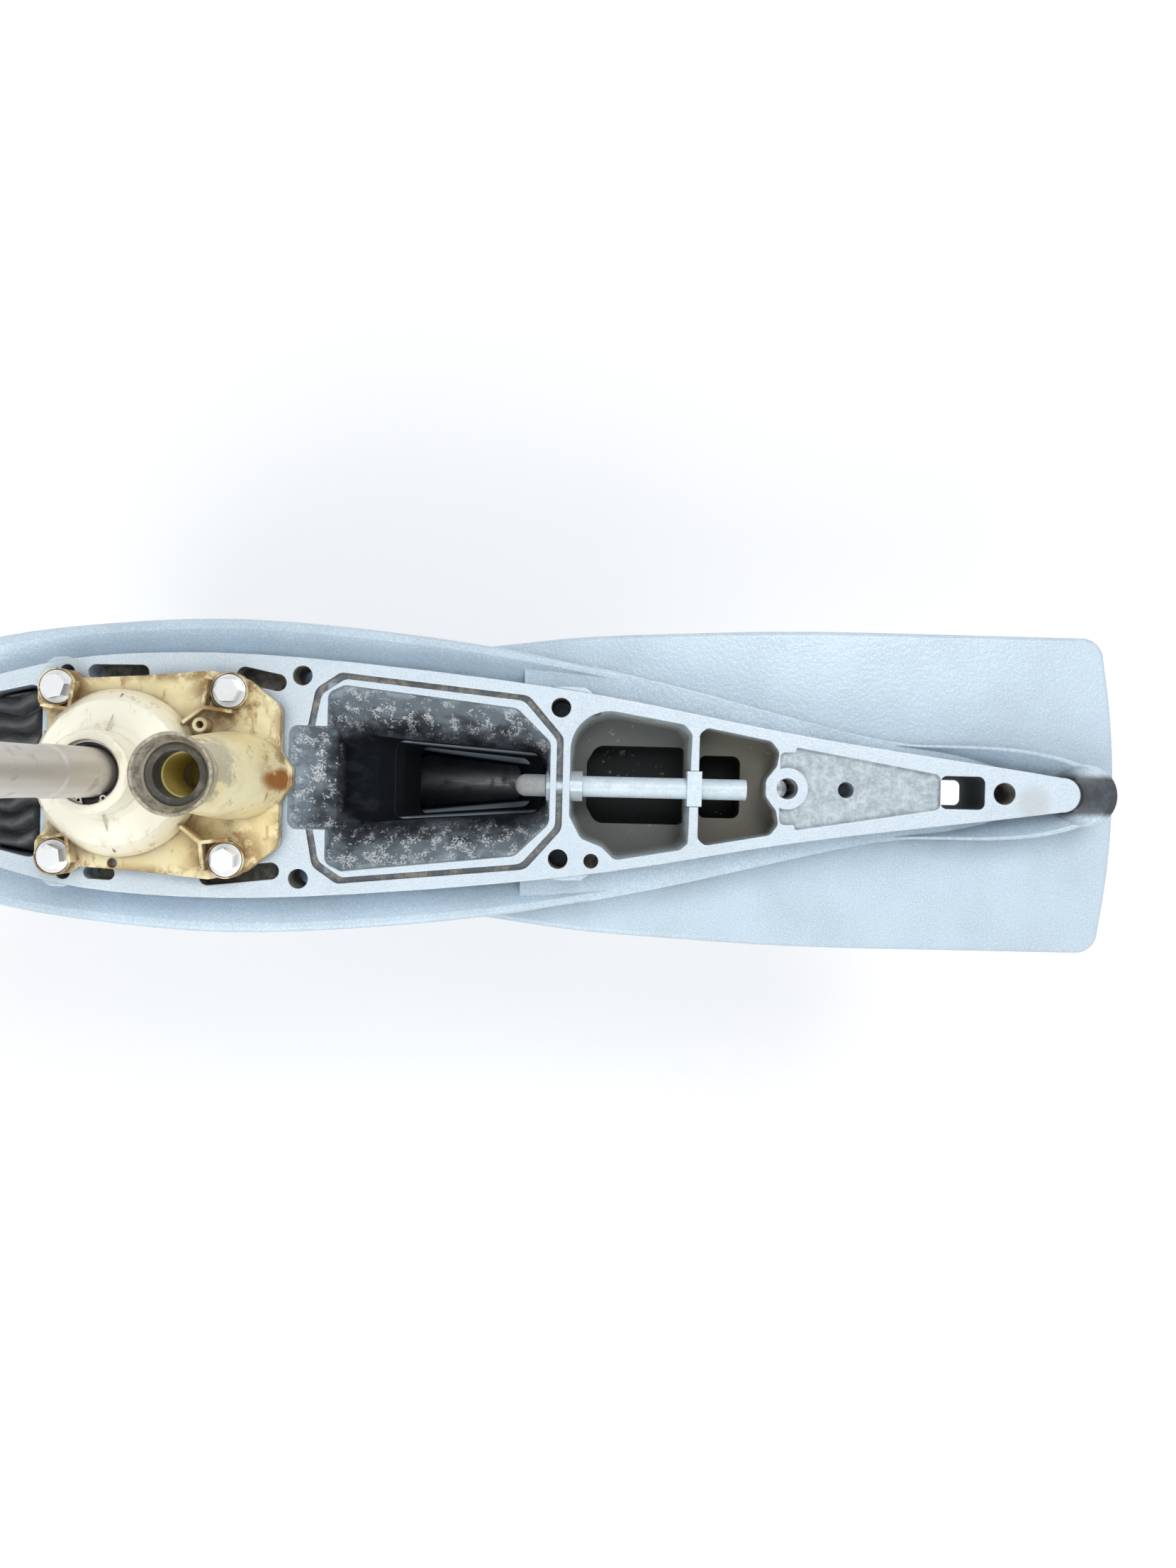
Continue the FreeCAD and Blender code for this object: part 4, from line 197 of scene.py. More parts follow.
class Recipe:
    """Adds nodes to a tree and joins them, left to right."""

    def __init__(self, tree):
        self.tree = tree

    def add(self, kind, **settings):
        node = self.tree.nodes.new(kind)
        for name, value in settings.items():
            setattr(node, name, value)
        return node

    def join(self, source, target):
        self.tree.links.new(source, target)

    def feed(self, node, inputs):
        for name, value in inputs.items():
            socket = node.inputs[name]
            if isinstance(value, bpy.types.NodeSocket):
                self.join(value, socket)
            else:
                socket.default_value = value

    def math(self, operation, first, second=0.0, clamp=False):
        node = self.add("ShaderNodeMath", operation=operation, use_clamp=clamp)
        self.feed(node, {0: first, 1: second})
        return node.outputs[0]

    def product(self, *values):
        result = values[0]
        for value in values[1:]:
            result = self.math("MULTIPLY", result, value)
        return result

    def largest(self, *values):
        result = values[0]
        for value in values[1:]:
            result = self.math("MAXIMUM", result, value)
        return result

    def ramp(self, value, low, high, to_low=0.0, to_high=1.0, kind="SMOOTHSTEP"):
        """From to_low at low up to to_high at high, as a soft step or a straight line."""
        node = self.add("ShaderNodeMapRange", interpolation_type=kind)
        self.feed(node, {"Value": value, "From Min": low, "From Max": high})
        self.feed(node, {"To Min": to_low, "To Max": to_high})
        return node.outputs["Result"]

    def noise(self, place, scale, detail=3.0, roughness=0.55):
        node = self.add("ShaderNodeTexNoise")
        self.feed(node, {"Vector": place, "Scale": scale, "Detail": detail, "Roughness": roughness})
        return node.outputs["Fac"]

    def scaled(self, place, factors):
        """The place with each axis multiplied, to stretch a pattern."""
        node = self.add("ShaderNodeVectorMath", operation="MULTIPLY")
        self.feed(node, {0: place, 1: factors})
        return node.outputs[0]

    def mix(self, share, first, second, blend="MIX"):
        node = self.add("ShaderNodeMix", data_type="RGBA", blend_type=blend)
        self.feed(node, {0: share, 6: first, 7: second})
        return node.outputs[2]

    def bump(self, height, distance, strength=1.0, normal=None):
        node = self.add("ShaderNodeBump")
        self.feed(node, {"Height": height, "Distance": distance, "Strength": strength})
        if normal is not None:
            self.join(normal, node.inputs["Normal"])
        return node.outputs["Normal"]


def colour(value):
    """The colour with full alpha."""
    return (*value, 1.0)


def tint(name):
    """The colour of that name."""
    return colour(TINTS[name])


def new_group(name, inputs, outputs):
    """A node group with these sockets, its recipe, and its input and output nodes."""
    group = bpy.data.node_groups.new(name, "ShaderNodeTree")
    for label, kind, value in inputs:
        socket = group.interface.new_socket(name=label, in_out="INPUT", socket_type=kind)
        if value is not None:
            socket.default_value = value
    for label, kind in outputs:
        group.interface.new_socket(name=label, in_out="OUTPUT", socket_type=kind)
    recipe = Recipe(group)
    return group, recipe, recipe.add("NodeGroupInput"), recipe.add("NodeGroupOutput")


FLOAT = "NodeSocketFloat"
VECTOR = "NodeSocketVector"


def worn_edges_group():
    """Rounded edges: a softened normal, and a mask where it leaves the flat one, broken up by noise."""
    group, make, source, out = new_group(
        "worn edges", [("Place", VECTOR, None), ("Radius", FLOAT, 0.001), ("Amount", FLOAT, 0.5)],
        [("Normal", VECTOR), ("Mask", FLOAT)])
    bevel = make.add("ShaderNodeBevel", samples=6)
    make.feed(bevel, {"Radius": source.outputs["Radius"]})
    flat = make.add("ShaderNodeNewGeometry")
    dot = make.add("ShaderNodeVectorMath", operation="DOT_PRODUCT")
    make.feed(dot, {0: bevel.outputs["Normal"], 1: flat.outputs["Normal"]})
    edge = make.ramp(dot.outputs["Value"], 0.995, 0.9)
    broken = make.ramp(make.noise(source.outputs["Place"], 180, 4), 0.42, 0.6)
    mask = make.math("MULTIPLY", make.product(edge, broken), source.outputs["Amount"], clamp=True)
    make.feed(out, {"Normal": bevel.outputs["Normal"], "Mask": mask})
    return group


def crevice_group():
    """Grime and painted shade where surfaces meet: ambient occlusion, broken up by noise."""
    group, make, source, out = new_group(
        "crevice grime and shade", [("Place", VECTOR, None), ("Reach", FLOAT, 0.012), ("Amount", FLOAT, 0.7)],
        [("Mask", FLOAT)])
    near = make.add("ShaderNodeAmbientOcclusion", samples=6)
    make.feed(near, {"Distance": source.outputs["Reach"]})
    hidden = make.ramp(near.outputs["AO"], 0.95, 0.35)
    patchy = make.ramp(make.noise(source.outputs["Place"], 60, 5), 0.25, 0.7, 0.55, 1.0)
    mask = make.math("MULTIPLY", make.product(hidden, patchy), source.outputs["Amount"], clamp=True)
    make.feed(out, {"Mask": mask})
    return group


def grain_group():
    """Fine grain of a cast or moulded skin: two sizes of noise as a height and a shade."""
    group, make, source, out = new_group(
        "skin grain", [("Place", VECTOR, None), ("Size", FLOAT, 0.001)],
        [("Height", FLOAT), ("Shade", FLOAT)])
    scale = make.math("DIVIDE", 1.0, source.outputs["Size"])
    fine = make.noise(source.outputs["Place"], scale, 2)
    coarse = make.noise(source.outputs["Place"], make.product(scale, 0.21), 4)
    height = make.math("ADD", make.product(fine, 0.6), make.product(coarse, 0.4))
    make.feed(out, {"Height": height, "Shade": make.ramp(height, 0.35, 0.65)})
    return group


def specks_group():
    """Small pale crusts: noise above a threshold, gathered in patches."""
    group, make, source, out = new_group(
        "salt specks", [("Place", VECTOR, None), ("Size", FLOAT, 0.003), ("Cover", FLOAT, 0.15)],
        [("Mask", FLOAT)])
    scale = make.math("DIVIDE", 1.0, source.outputs["Size"])
    spots = make.noise(source.outputs["Place"], scale, 6, 0.65)
    patches = make.noise(source.outputs["Place"], make.product(scale, 0.16), 3)
    gathered = make.product(source.outputs["Cover"], make.ramp(patches, 0.36, 0.64))
    level = make.math("SUBTRACT", 0.72, gathered)
    mask = make.ramp(make.math("SUBTRACT", spots, level), 0.0, 0.06)
    make.feed(out, {"Mask": mask})
    return group


def streaks_group():
    """Lathe or brush marks: noise stretched across one direction."""
    group, make, source, out = new_group(
        "tool marks", [("Place", VECTOR, None), ("Stretch", VECTOR, (40.0, 40.0, 2500.0))],
        [("Height", FLOAT), ("Shade", FLOAT)])
    drawn = make.scaled(source.outputs["Place"], source.outputs["Stretch"])
    lines = make.noise(drawn, 1.0, 4, 0.6)
    make.feed(out, {"Height": lines, "Shade": make.ramp(lines, 0.3, 0.7)})
    return group


class Finishes:
    """The shared groups, made once, and the materials that are built from them."""

    groups = {}
    made = {}


def group_node(make, name, inputs):
    """A node that holds the shared group of that name, with its inputs fed."""
    makers = {"worn edges": worn_edges_group, "crevice grime and shade": crevice_group, "skin grain": grain_group,
              "salt specks": specks_group, "tool marks": streaks_group}
    if name not in Finishes.groups:
        Finishes.groups[name] = makers[name]()
    node = make.add("ShaderNodeGroup")
    node.node_tree = Finishes.groups[name]
    make.feed(node, inputs)
    return node


def start_material(name):
    """A material with an empty Principled shader, its recipe and the object's own coordinates."""
    material = bpy.data.materials.new(name)
    material.use_nodes = True
    make = Recipe(material.node_tree)
    shader = material.node_tree.nodes["Principled BSDF"]
    place = make.add("ShaderNodeTexCoord").outputs["Object"]
    return material, make, shader, place


def apart(make, place):
    """The x, y and z of a place."""
    node = make.add("ShaderNodeSeparateXYZ")
    make.join(place, node.inputs[0])
    return node.outputs[0], node.outputs[1], node.outputs[2]


def within(make, value, low, high, soft):
    """One inside a range, falling to nothing over a soft edge."""
    rise = make.ramp(value, low - soft, low + soft)
    fall = make.ramp(value, high - soft, high + soft, 1.0, 0.0)
    return make.product(rise, fall)


def area(make, place, starts, halves, heights, soft=0.0007):
    """One inside a hollow: its half width changes evenly along x. Nothing outside it."""
    x, y, z = place
    reach = make.ramp(x, *starts, *halves, kind="LINEAR")
    across = make.ramp(make.math("SUBTRACT", reach, make.math("ABSOLUTE", y)), -soft, soft)
    return make.product(across, within(make, x, *starts, soft), within(make, z, *heights, 0.0003))


def spot(make, x, y, middle, inner, outer):
    """One inside an inner radius round the middle, falling to nothing at the outer one."""
    away_x = make.math("SUBTRACT", x, middle[0])
    away_y = make.math("SUBTRACT", y, middle[1])
    square = make.math("ADD", make.product(away_x, away_x), make.product(away_y, away_y))
    return make.ramp(make.math("SQRT", square), outer, inner)


def paint_coat(make, place, at, mottle, edges):
    """The paint before the stains: metallic flakes, a paler machined deck, worn edges with painted edge
    highlights, a soft painted shadow, and grime with painted shade.
    """
    settings = bpy.context.scene.lower_unit
    x, y, z = at
    # Crevice grime that is also painted shade where surfaces meet, and a wider soft painted shadow beside
    # walls.
    grime_and_shade = group_node(make, "crevice grime and shade", {"Place": place, "Reach": 0.009, "Amount": 0.6})
    shadow = group_node(make, "crevice grime and shade", {"Place": place, "Reach": 0.018, "Amount": 0.15})
    flakes = make.noise(place, 980, 3, 0.75)
    bright_flakes = make.ramp(flakes, 0.51, 0.64, 0.0, 0.42)
    dark_flakes = make.ramp(flakes, 0.48, 0.36, 0.0, 0.30)
    paint = colour(settings.paint)
    deep = colour([0.88 * value for value in settings.paint])
    base = make.mix(make.ramp(make.noise(place, 19, 4), 0.30, 0.75), paint, deep)
    deck = within(make, z, *DECK_HEIGHTS, 0.0002)
    pale = make.product(deck, make.ramp(mottle, 0.35, 0.6, 0.35, 0.7))
    base = make.mix(pale, base, tint("machined deck"))
    base = make.mix(bright_flakes, base, tint("pale flake"))
    base = make.mix(dark_flakes, base, tint("dark flake"))
    bare = make.product(deck, spot(make, x, y, BARE_TAIL, 0.005, 0.014), 0.75)
    base = make.mix(bare, base, tint("bare alloy"))
    # Worn paint at the edges, painted paler so that it is also a painted edge highlight.
    base = make.mix(edges.outputs["Mask"], base, tint("rubbed paint and edge highlight"))
    base = make.mix(shadow.outputs["Mask"], base, tint("soft shadow"))
    return make.mix(grime_and_shade.outputs["Mask"], base, tint("casting grime and shade"))


def exhaust_soot_and_shade(make, place, at, base, depth, crust):
    """Soot and painted shade that blacken with the depth of the exhaust bowl, under salt specks.

    Returns the new base, the bowl's mask and the share that is black soot and painted shade and takes no
    light.
    """
    z = at[2]
    bowl = make.largest(*[area(make, at, *hollow) for hollow in EXHAUST_BOWL])
    # Soot that darkens with depth; its deepest black is painted shade of the deep bowl.
    soot = make.mix(make.ramp(depth, -0.001, -0.011), tint("thin soot"), tint("soot"))
    soot = make.mix(make.ramp(depth, -0.013, -0.027), soot, tint("thick soot and shade"))
    soot = make.mix(make.ramp(depth, -0.025, -0.042), soot, tint("black soot and shade"))
    base = make.mix(make.product(bowl, 0.97), base, soot)
    streaky = make.scaled(place, (1.0, 1.0, 0.28))
    salt = group_node(make, "salt specks", {"Place": streaky, "Size": 0.0011, "Cover": 0.262})
    salted = make.product(bowl, make.ramp(z, -0.038, -0.018), make.ramp(z, -0.0015, -0.006))
    share = make.product(make.largest(salt.outputs["Mask"], crust.outputs["Mask"]), salted, 0.85)
    base = make.mix(share, base, tint("salt"))
    sooty_and_shaded = make.product(bowl, make.ramp(depth, -0.016, -0.036), make.math("SUBTRACT", 1.0, share))
    return base, bowl, sooty_and_shaded


def rear_cavity(make, at, base, depth, hollow, name, floor, drop):
    """Colour of a cavity behind the bowl, darker from its wall to its floor, with painted shade in the depth
    under the floor.

    Returns the new base, the cavity's mask and the depth's mask.
    """
    inside = area(make, at, *hollow)
    shade = make.mix(make.ramp(depth, -0.003, floor), tint(name + " wall"), tint(name + " floor"))
    deep = make.ramp(at[2], *drop)
    # The depth under the floor is painted near black as shade.
    shade = make.mix(deep, shade, tint(name + " depth"))
    return make.mix(make.product(inside, 0.95), base, shade), inside, deep


def casting_paint():
    """Silver-blue metallic paint on the casting, with the wear, soot, salt and stains of each hollow, painted
    shade in the deep hollows and a painted dark reflection on the tail slope.
    """
    material, make, shader, place = start_material("casting paint")
    at = apart(make, place)
    x, y, z = at
    grain = group_node(make, "skin grain", {"Place": place, "Size": 0.0011})
    edges = group_node(make, "worn edges", {"Place": place, "Radius": 0.0011, "Amount": 0.8})
    crust = group_node(make, "salt specks", {"Place": place, "Size": 0.0045, "Cover": 0.13})
    mottle = make.noise(place, 150, 6, 0.65)
    base = paint_coat(make, place, at, mottle, edges)

    groove = area(make, at, *GASKET_GROOVE)
    deposit = make.mix(make.ramp(mottle, 0.44, 0.64), tint("dark deposit"), tint("dry deposit"))
    base = make.mix(make.product(groove, 0.88), base, deposit)

    cloudy = make.noise(make.scaled(place, (50, 90, 50)), 1.0, 5, 0.6)
    depth = make.math("ADD", z, make.ramp(cloudy, 0.3, 0.7, -0.007, 0.007))
    base, bowl, sooty_and_shaded = exhaust_soot_and_shade(make, place, at, base, depth, crust)
    base, large, large_depth = rear_cavity(
        make, at, base, depth, LARGE_CAVITY, "large cavity", -0.024, (-0.0300, -0.0325))
    base, small, small_depth = rear_cavity(
        make, at, base, depth, SMALL_CAVITY, "small cavity", -0.018, (-0.0235, -0.0250))
    cavities = make.largest(large, small)
    base = make.mix(make.product(cavities, crust.outputs["Mask"], 0.4), base, tint("cavity crust"))

    recess = area(make, at, *CAST_RECESS)
    pitted = make.noise(place, 210, 8, 0.8)
    rough_cast = make.mix(make.ramp(pitted, 0.36, 0.64), tint("dark pits"), tint("rough cast"))
    base = make.mix(make.product(recess, 0.9), base, rough_cast)
    # The square window's wall is painted dark as shade inside the hole.
    window = area(make, at, *SQUARE_WINDOW)
    base = make.mix(make.product(window, 0.93), base, tint("window wall"))
    # The tail slope is painted dark as a painted reflection of dark surroundings, mottled paler at random.
    slope = area(make, at, *TAIL_SLOPE, 0.0026)
    slope_shade = make.mix(make.ramp(mottle, 0.42, 0.66), tint("dark slope reflection"), tint("paler slope reflection"))
    base = make.mix(make.product(slope, 0.95), base, slope_shade)

    width = make.math("ABSOLUTE", y)
    muddy = make.mix(make.ramp(mottle, 0.4, 0.6), tint("mud"), tint("dry deposit"))
    slots = make.product(area(make, at, *SIDE_SLOTS), make.ramp(width, 0.045, 0.047))
    base = make.mix(make.product(slots, 0.85), base, muddy)
    rounds = [spot(make, x, width, middle, radius, radius + 0.0008) for middle, radius in DECK_HOLES]
    holes = make.product(make.largest(*rounds), within(make, z, *SHALLOW, 0.0003))
    base = make.mix(make.product(holes, 0.85), base, muddy)
    front = area(make, at, *FRONT_POCKET)
    base = make.mix(make.product(front, 0.6), base, tint("pocket"))

    dull = make.largest(bowl, cavities, recess, window, slots, holes, make.product(front, 0.8))
    rough = make.mix(dull, make.ramp(grain.outputs["Height"], 0.3, 0.7, 0.28, 0.40), (0.88, 0.88, 0.88, 1.0))
    rough = make.mix(slope, rough, (0.28, 0.28, 0.28, 1.0))
    # Painted shade: the bowl's black depth, the cavities' depths and the window take no light, as metal of a
    # near-black colour.
    unlit = make.largest(sooty_and_shaded, make.product(large, large_depth, 0.9), make.product(small, small_depth, 0.95),
                         make.product(window, 0.6))
    flaky = make.product(make.math("SUBTRACT", 1.0, dull, clamp=True), 0.08)
    metallic = make.math("MAXIMUM", flaky, unlit, clamp=True)
    peel = make.math("ADD", make.product(make.noise(place, 430, 2, 0.4), 0.75),
                     make.product(grain.outputs["Height"], 0.25))
    peel = make.product(peel, make.math("SUBTRACT", 1.0, make.product(slope, 0.85)))
    pits = make.product(make.math("MAXIMUM", recess, make.product(bowl, 0.6)), pitted, 2.6)
    normal = make.bump(make.math("ADD", peel, pits), 0.00028, 0.9, edges.outputs["Normal"])
    make.feed(shader, {"Base Color": base, "Roughness": rough, "Metallic": metallic, "Normal": normal})
    return material


def pump_plastic():
    """Cream moulded plastic: aged yellow, brown stains at bolts and edges, a grey and brown horn rim."""
    settings = bpy.context.scene.lower_unit
    material, make, shader, place = start_material("pump plastic")
    x, y, z = apart(make, place)
    width = make.math("ABSOLUTE", y)
    grain = group_node(make, "skin grain", {"Place": place, "Size": 0.0009})
    edges = group_node(make, "worn edges", {"Place": place, "Radius": 0.0014, "Amount": 0.7})
    grime_and_shade = group_node(make, "crevice grime and shade", {"Place": place, "Reach": 0.012, "Amount": 0.85})
    stain = make.noise(place, 62, 7, 0.68)
    cream = colour(settings.plastic)
    aging = make.ramp(make.noise(place, 30, 4), 0.35, 0.66, 0.15, 0.95)
    base = make.mix(aging, cream, tint("aged plastic"))
    # Painted light: the dome on top of the housing is painted paler, near white, and brown streaks are held
    # back on it.
    dome = make.product(spot(make, x, y, (0.0, 0.0), 0.040, 0.056), 0.92)
    base = make.mix(dome, base, tint("lit dome plastic"))

    front_bolts = spot(make, x, width, PUMP_FRONT_BOLTS, 0.011, 0.026)
    rear_bolts = spot(make, x, width, PUMP_REAR_BOLTS, 0.012, 0.032)
    rim = make.math("MAXIMUM", make.ramp(width, 0.052, 0.060), make.ramp(x, 0.086, 0.098))
    dirty = make.largest(front_bolts, rear_bolts, make.product(rim, 0.9))
    dirt = make.product(dirty, make.ramp(stain, 0.41, 0.56))
    base = make.mix(make.product(dirt, 0.92), base, tint("bolt stain"))
    streaks = make.noise(make.scaled(place, (150, 60, 150)), 1.0, 7, 0.7)
    off_dome = make.math("SUBTRACT", 1.0, make.product(dome, 0.7))
    patch = make.product(make.ramp(streaks, 0.55, 0.68), off_dome, 0.75)
    base = make.mix(patch, base, tint("brown streak"))
    rust = make.product(spot(make, x, y, PUMP_RUST, 0.004, 0.0085), make.ramp(stain, 0.30, 0.45))
    base = make.mix(rust, base, tint("rust"))

    low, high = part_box("water_tube_seal")
    axis = ((low.x + high.x) / 2, 0.0)
    near_horn = spot(make, x, y, axis, 0.0245, 0.033)
    scuffs = make.ramp(make.noise(place, 48, 5, 0.6), 0.50, 0.58)
    side = make.product(near_horn, make.ramp(z, 0.040, 0.056), scuffs, 0.5)
    base = make.mix(side, base, tint("horn scuff"))
    top = make.product(spot(make, x, y, axis, 0.0235, 0.0250), make.ramp(z, 0.0735, 0.0765))
    flecks = make.ramp(make.noise(place, 190, 6, 0.7), 0.38, 0.62)
    ring = make.mix(flecks, tint("dark rim"), tint("pale rim"))
    base = make.mix(make.product(top, 0.93), base, ring)
    # Brown grime in crevices, which is also painted shade where surfaces meet.
    base = make.mix(grime_and_shade.outputs["Mask"], base, tint("pump grime and shade"))
    worn = make.mix(make.ramp(stain, 0.44, 0.54), tint("rubbed plastic"), tint("stained edge"))
    base = make.mix(edges.outputs["Mask"], base, worn)
    bottom = make.product(spot(make, x, y, axis, 0.0135, 0.0165), make.ramp(z, high.z, low.z))
    base = make.mix(bottom, base, tint("horn bottom"))

    waves = make.product(make.noise(place, 95, 3, 0.5), 4.0)
    height = make.math("ADD", grain.outputs["Height"], waves)
    normal = make.bump(height, 0.00016, 0.8, edges.outputs["Normal"])
    skin = make.ramp(grain.outputs["Height"], 0.3, 0.7, 0.32, 0.48)
    rough = make.math("ADD", skin, make.product(dirt, 0.25))
    make.feed(shader, {"Base Color": base, "Roughness": rough, "Normal": normal})
    return material


def metal(name, base_colour, stain, rough_low, rough_high, stretch, stain_cover, edge=0.0006, shine=1.0):
    """Machined metal: tool marks, stain patches, crevice grime that is also painted shade, bright worn edges.
    """
    material, make, shader, place = start_material(name)
    marks = group_node(make, "tool marks", {"Place": place, "Stretch": stretch})
    edges = group_node(make, "worn edges", {"Place": place, "Radius": edge, "Amount": 0.6})
    grime_and_shade = group_node(make, "crevice grime and shade", {"Place": place, "Reach": 0.006, "Amount": 0.5})
    darker = colour([0.72 * value for value in base_colour])
    shade = make.mix(make.product(marks.outputs["Shade"], 0.35), colour(base_colour), darker)
    blotches = make.noise(place, 75, 6, 0.62)
    patches = make.ramp(blotches, 0.62 - 0.25 * stain_cover, 0.75 - 0.2 * stain_cover)
    shade = make.mix(make.product(patches, 0.6), shade, colour(stain))
    # Darker stain in crevices, which is also painted shade where parts meet.
    shade = make.mix(grime_and_shade.outputs["Mask"], shade, colour([0.5 * value for value in stain]))
    brighter = colour([min(1.0, 1.25 * value) for value in base_colour])
    shade = make.mix(edges.outputs["Mask"], shade, brighter)
    rough = make.ramp(marks.outputs["Height"], 0.3, 0.7, rough_low, rough_high)
    rough = make.math("ADD", rough, make.product(patches, 0.18), clamp=True)
    metallic = make.math("SUBTRACT", shine, make.product(patches, 0.35))
    normal = make.bump(marks.outputs["Height"], 0.00004, 0.8, edges.outputs["Normal"])
    make.feed(shader, {"Base Color": shade, "Roughness": rough, "Metallic": metallic, "Normal": normal})
    return material


def moulded(name, base_colour, dust, rough, grain_size=0.0008, dust_share=0.25):
    """Rubber or plain plastic: fine grain, dust in patches, paler edges."""
    material, make, shader, place = start_material(name)
    grain = group_node(make, "skin grain", {"Place": place, "Size": grain_size})
    edges = group_node(make, "worn edges", {"Place": place, "Radius": 0.0007, "Amount": 0.35})
    paler = colour([1.6 * value + 0.01 for value in base_colour])
    base = make.mix(make.product(grain.outputs["Shade"], 0.3), colour(base_colour), paler)
    dusty = make.product(make.ramp(make.noise(place, 85, 6, 0.65), 0.45, 0.72), dust_share)
    base = make.mix(dusty, base, colour(dust))
    rubbed = colour([min(1.0, 1.8 * value + 0.04) for value in base_colour])
    base = make.mix(edges.outputs["Mask"], base, rubbed)
    normal = make.bump(grain.outputs["Height"], 0.0001, 0.7, edges.outputs["Normal"])
    shade = make.ramp(grain.outputs["Height"], 0.3, 0.7, rough - 0.08, rough + 0.1)
    make.feed(shader, {"Base Color": base, "Roughness": shade, "Normal": normal})
    return material


def threaded_metal():
    """Propeller shaft: bright steel with lathe marks, stains, and thread ridges round its rear end."""
    material, make, shader, place = start_material("propeller shaft steel")
    x, y, z = apart(make, place)
    low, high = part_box("propeller_shaft")
    centre_z = (low.z + high.z) / 2
    turn = make.math("DIVIDE", make.math("ARCTAN2", make.math("SUBTRACT", z, centre_z), y), 2 * math.pi)
    wave = make.math("ADD", make.math("DIVIDE", x, SHAFT_PITCH), turn)
    ridge = make.math("PINGPONG", wave, 0.5)
    threaded = make.ramp(x, high.x - 0.0605, high.x - 0.0595)
    marks = group_node(make, "tool marks", {"Place": place, "Stretch": (2600.0, 30.0, 30.0)})
    height = make.math("ADD", make.product(ridge, threaded), make.product(marks.outputs["Height"], 0.05))
    shade = make.mix(make.product(marks.outputs["Shade"], 0.3), tint("shaft steel"), tint("dull steel"))
    stains = make.ramp(make.noise(place, 60, 6), 0.5, 0.7)
    shade = make.mix(make.product(stains, 0.45), shade, tint("steel stain"))
    normal = make.bump(height, 0.0011, 0.9)
    rough = make.ramp(marks.outputs["Height"], 0.3, 0.7, 0.24, 0.42)
    make.feed(shader, {"Base Color": shade, "Roughness": rough, "Metallic": 1.0, "Normal": normal})
    return material


# Colour, stain, lowest and highest roughness, tool marks, how much is stained, edge radius, share of metal.
METALS = {
    "driveshaft": ("driveshaft steel", (0.66, 0.62, 0.555), (0.34, 0.28, 0.21), 0.34, 0.48, DRAWN, 0.3,
                   0.0006, 0.42),
    "bolts": ("bolt steel", (0.88, 0.89, 0.89), (0.62, 0.60, 0.55), 0.28, 0.42, EVEN, 0.1, 0.0004, 0.85),
    "stainless": ("stainless steel", (0.74, 0.74, 0.72), (0.42, 0.38, 0.32), 0.22, 0.38, BRUSHED, 0.3),
    "bearing": ("bearing steel", (0.74, 0.74, 0.75), (0.40, 0.36, 0.28), 0.14, 0.26, TURNED, 0.2),
    "gear": ("gear steel", (0.44, 0.44, 0.45), (0.20, 0.16, 0.11), 0.26, 0.42, TURNED_ALONG_X, 0.45),
    "bronze": ("bronze", (0.62, 0.43, 0.20), (0.28, 0.22, 0.12), 0.26, 0.42, TURNED_ALONG_X, 0.3),
    "aluminium": ("cast aluminium", (0.62, 0.65, 0.68), (0.40, 0.42, 0.43), 0.34, 0.5, BRUSHED, 0.5),
    "anode": ("zinc anode", (0.56, 0.58, 0.58), (0.74, 0.75, 0.73), 0.5, 0.7, BRUSHED, 0.9),
}

# Colour, dust, roughness, size of the grain, share of dust.
MOULDED = {
    "silver tube": ("silver tube", (0.60, 0.70, 0.755), (0.42, 0.48, 0.52), 0.34, 0.0012, 0.4),
    "black rubber": ("black rubber", (0.030, 0.031, 0.034), (0.30, 0.29, 0.27), 0.62),
    "black plastic": ("black plastic", (0.035, 0.036, 0.040), (0.24, 0.25, 0.25), 0.5),
    "grainy rubber": ("grainy rubber", (0.060, 0.056, 0.048), (0.30, 0.27, 0.21), 0.7, 0.0016, 0.6),
    "white plastic": ("white plastic", (0.27, 0.285, 0.285), (0.17, 0.175, 0.17), 0.42, 0.0016, 0.5),
    "worn rubber": ("worn rubber", (0.045, 0.047, 0.050), (0.22, 0.21, 0.20), 0.5, 0.0014, 0.35),
    "gasket": ("gasket fibre", (0.16, 0.15, 0.13), (0.35, 0.32, 0.27), 0.75),
}

OWN_RECIPES = {"casting": casting_paint, "pump": pump_plastic, "propeller shaft": threaded_metal}


def finish(name):
    """The finish of that name, made when it is first asked for."""
    if name not in Finishes.made:
        if name in METALS:
            material = metal(*METALS[name])
        elif name in MOULDED:
            material = moulded(*MOULDED[name])
        else:
            material = OWN_RECIPES[name]()
        Finishes.made[name] = material
    return Finishes.made[name]


def dress(node_names, finish_name):
    """Gives CAD nodes a finish."""
    for name in node_names:
        piece = NODES[name]
        piece.data.materials.clear()
        piece.data.materials.append(finish(finish_name))


def seen_directly(make):
    """One for rays from the camera and for reflected and refracted ones."""
    rays = make.add("ShaderNodeLightPath").outputs
    return make.largest(rays["Is Camera Ray"], rays["Is Glossy Ray"], rays["Is Transmission Ray"])


# New pieces

FRONT_ROD_HOLE = 0.0128
RIB_SPACING = 0.0118
RIB_HEIGHT = 0.0105
RIB_FOOT = 0.017
LUMP_HEIGHT = 0.0012


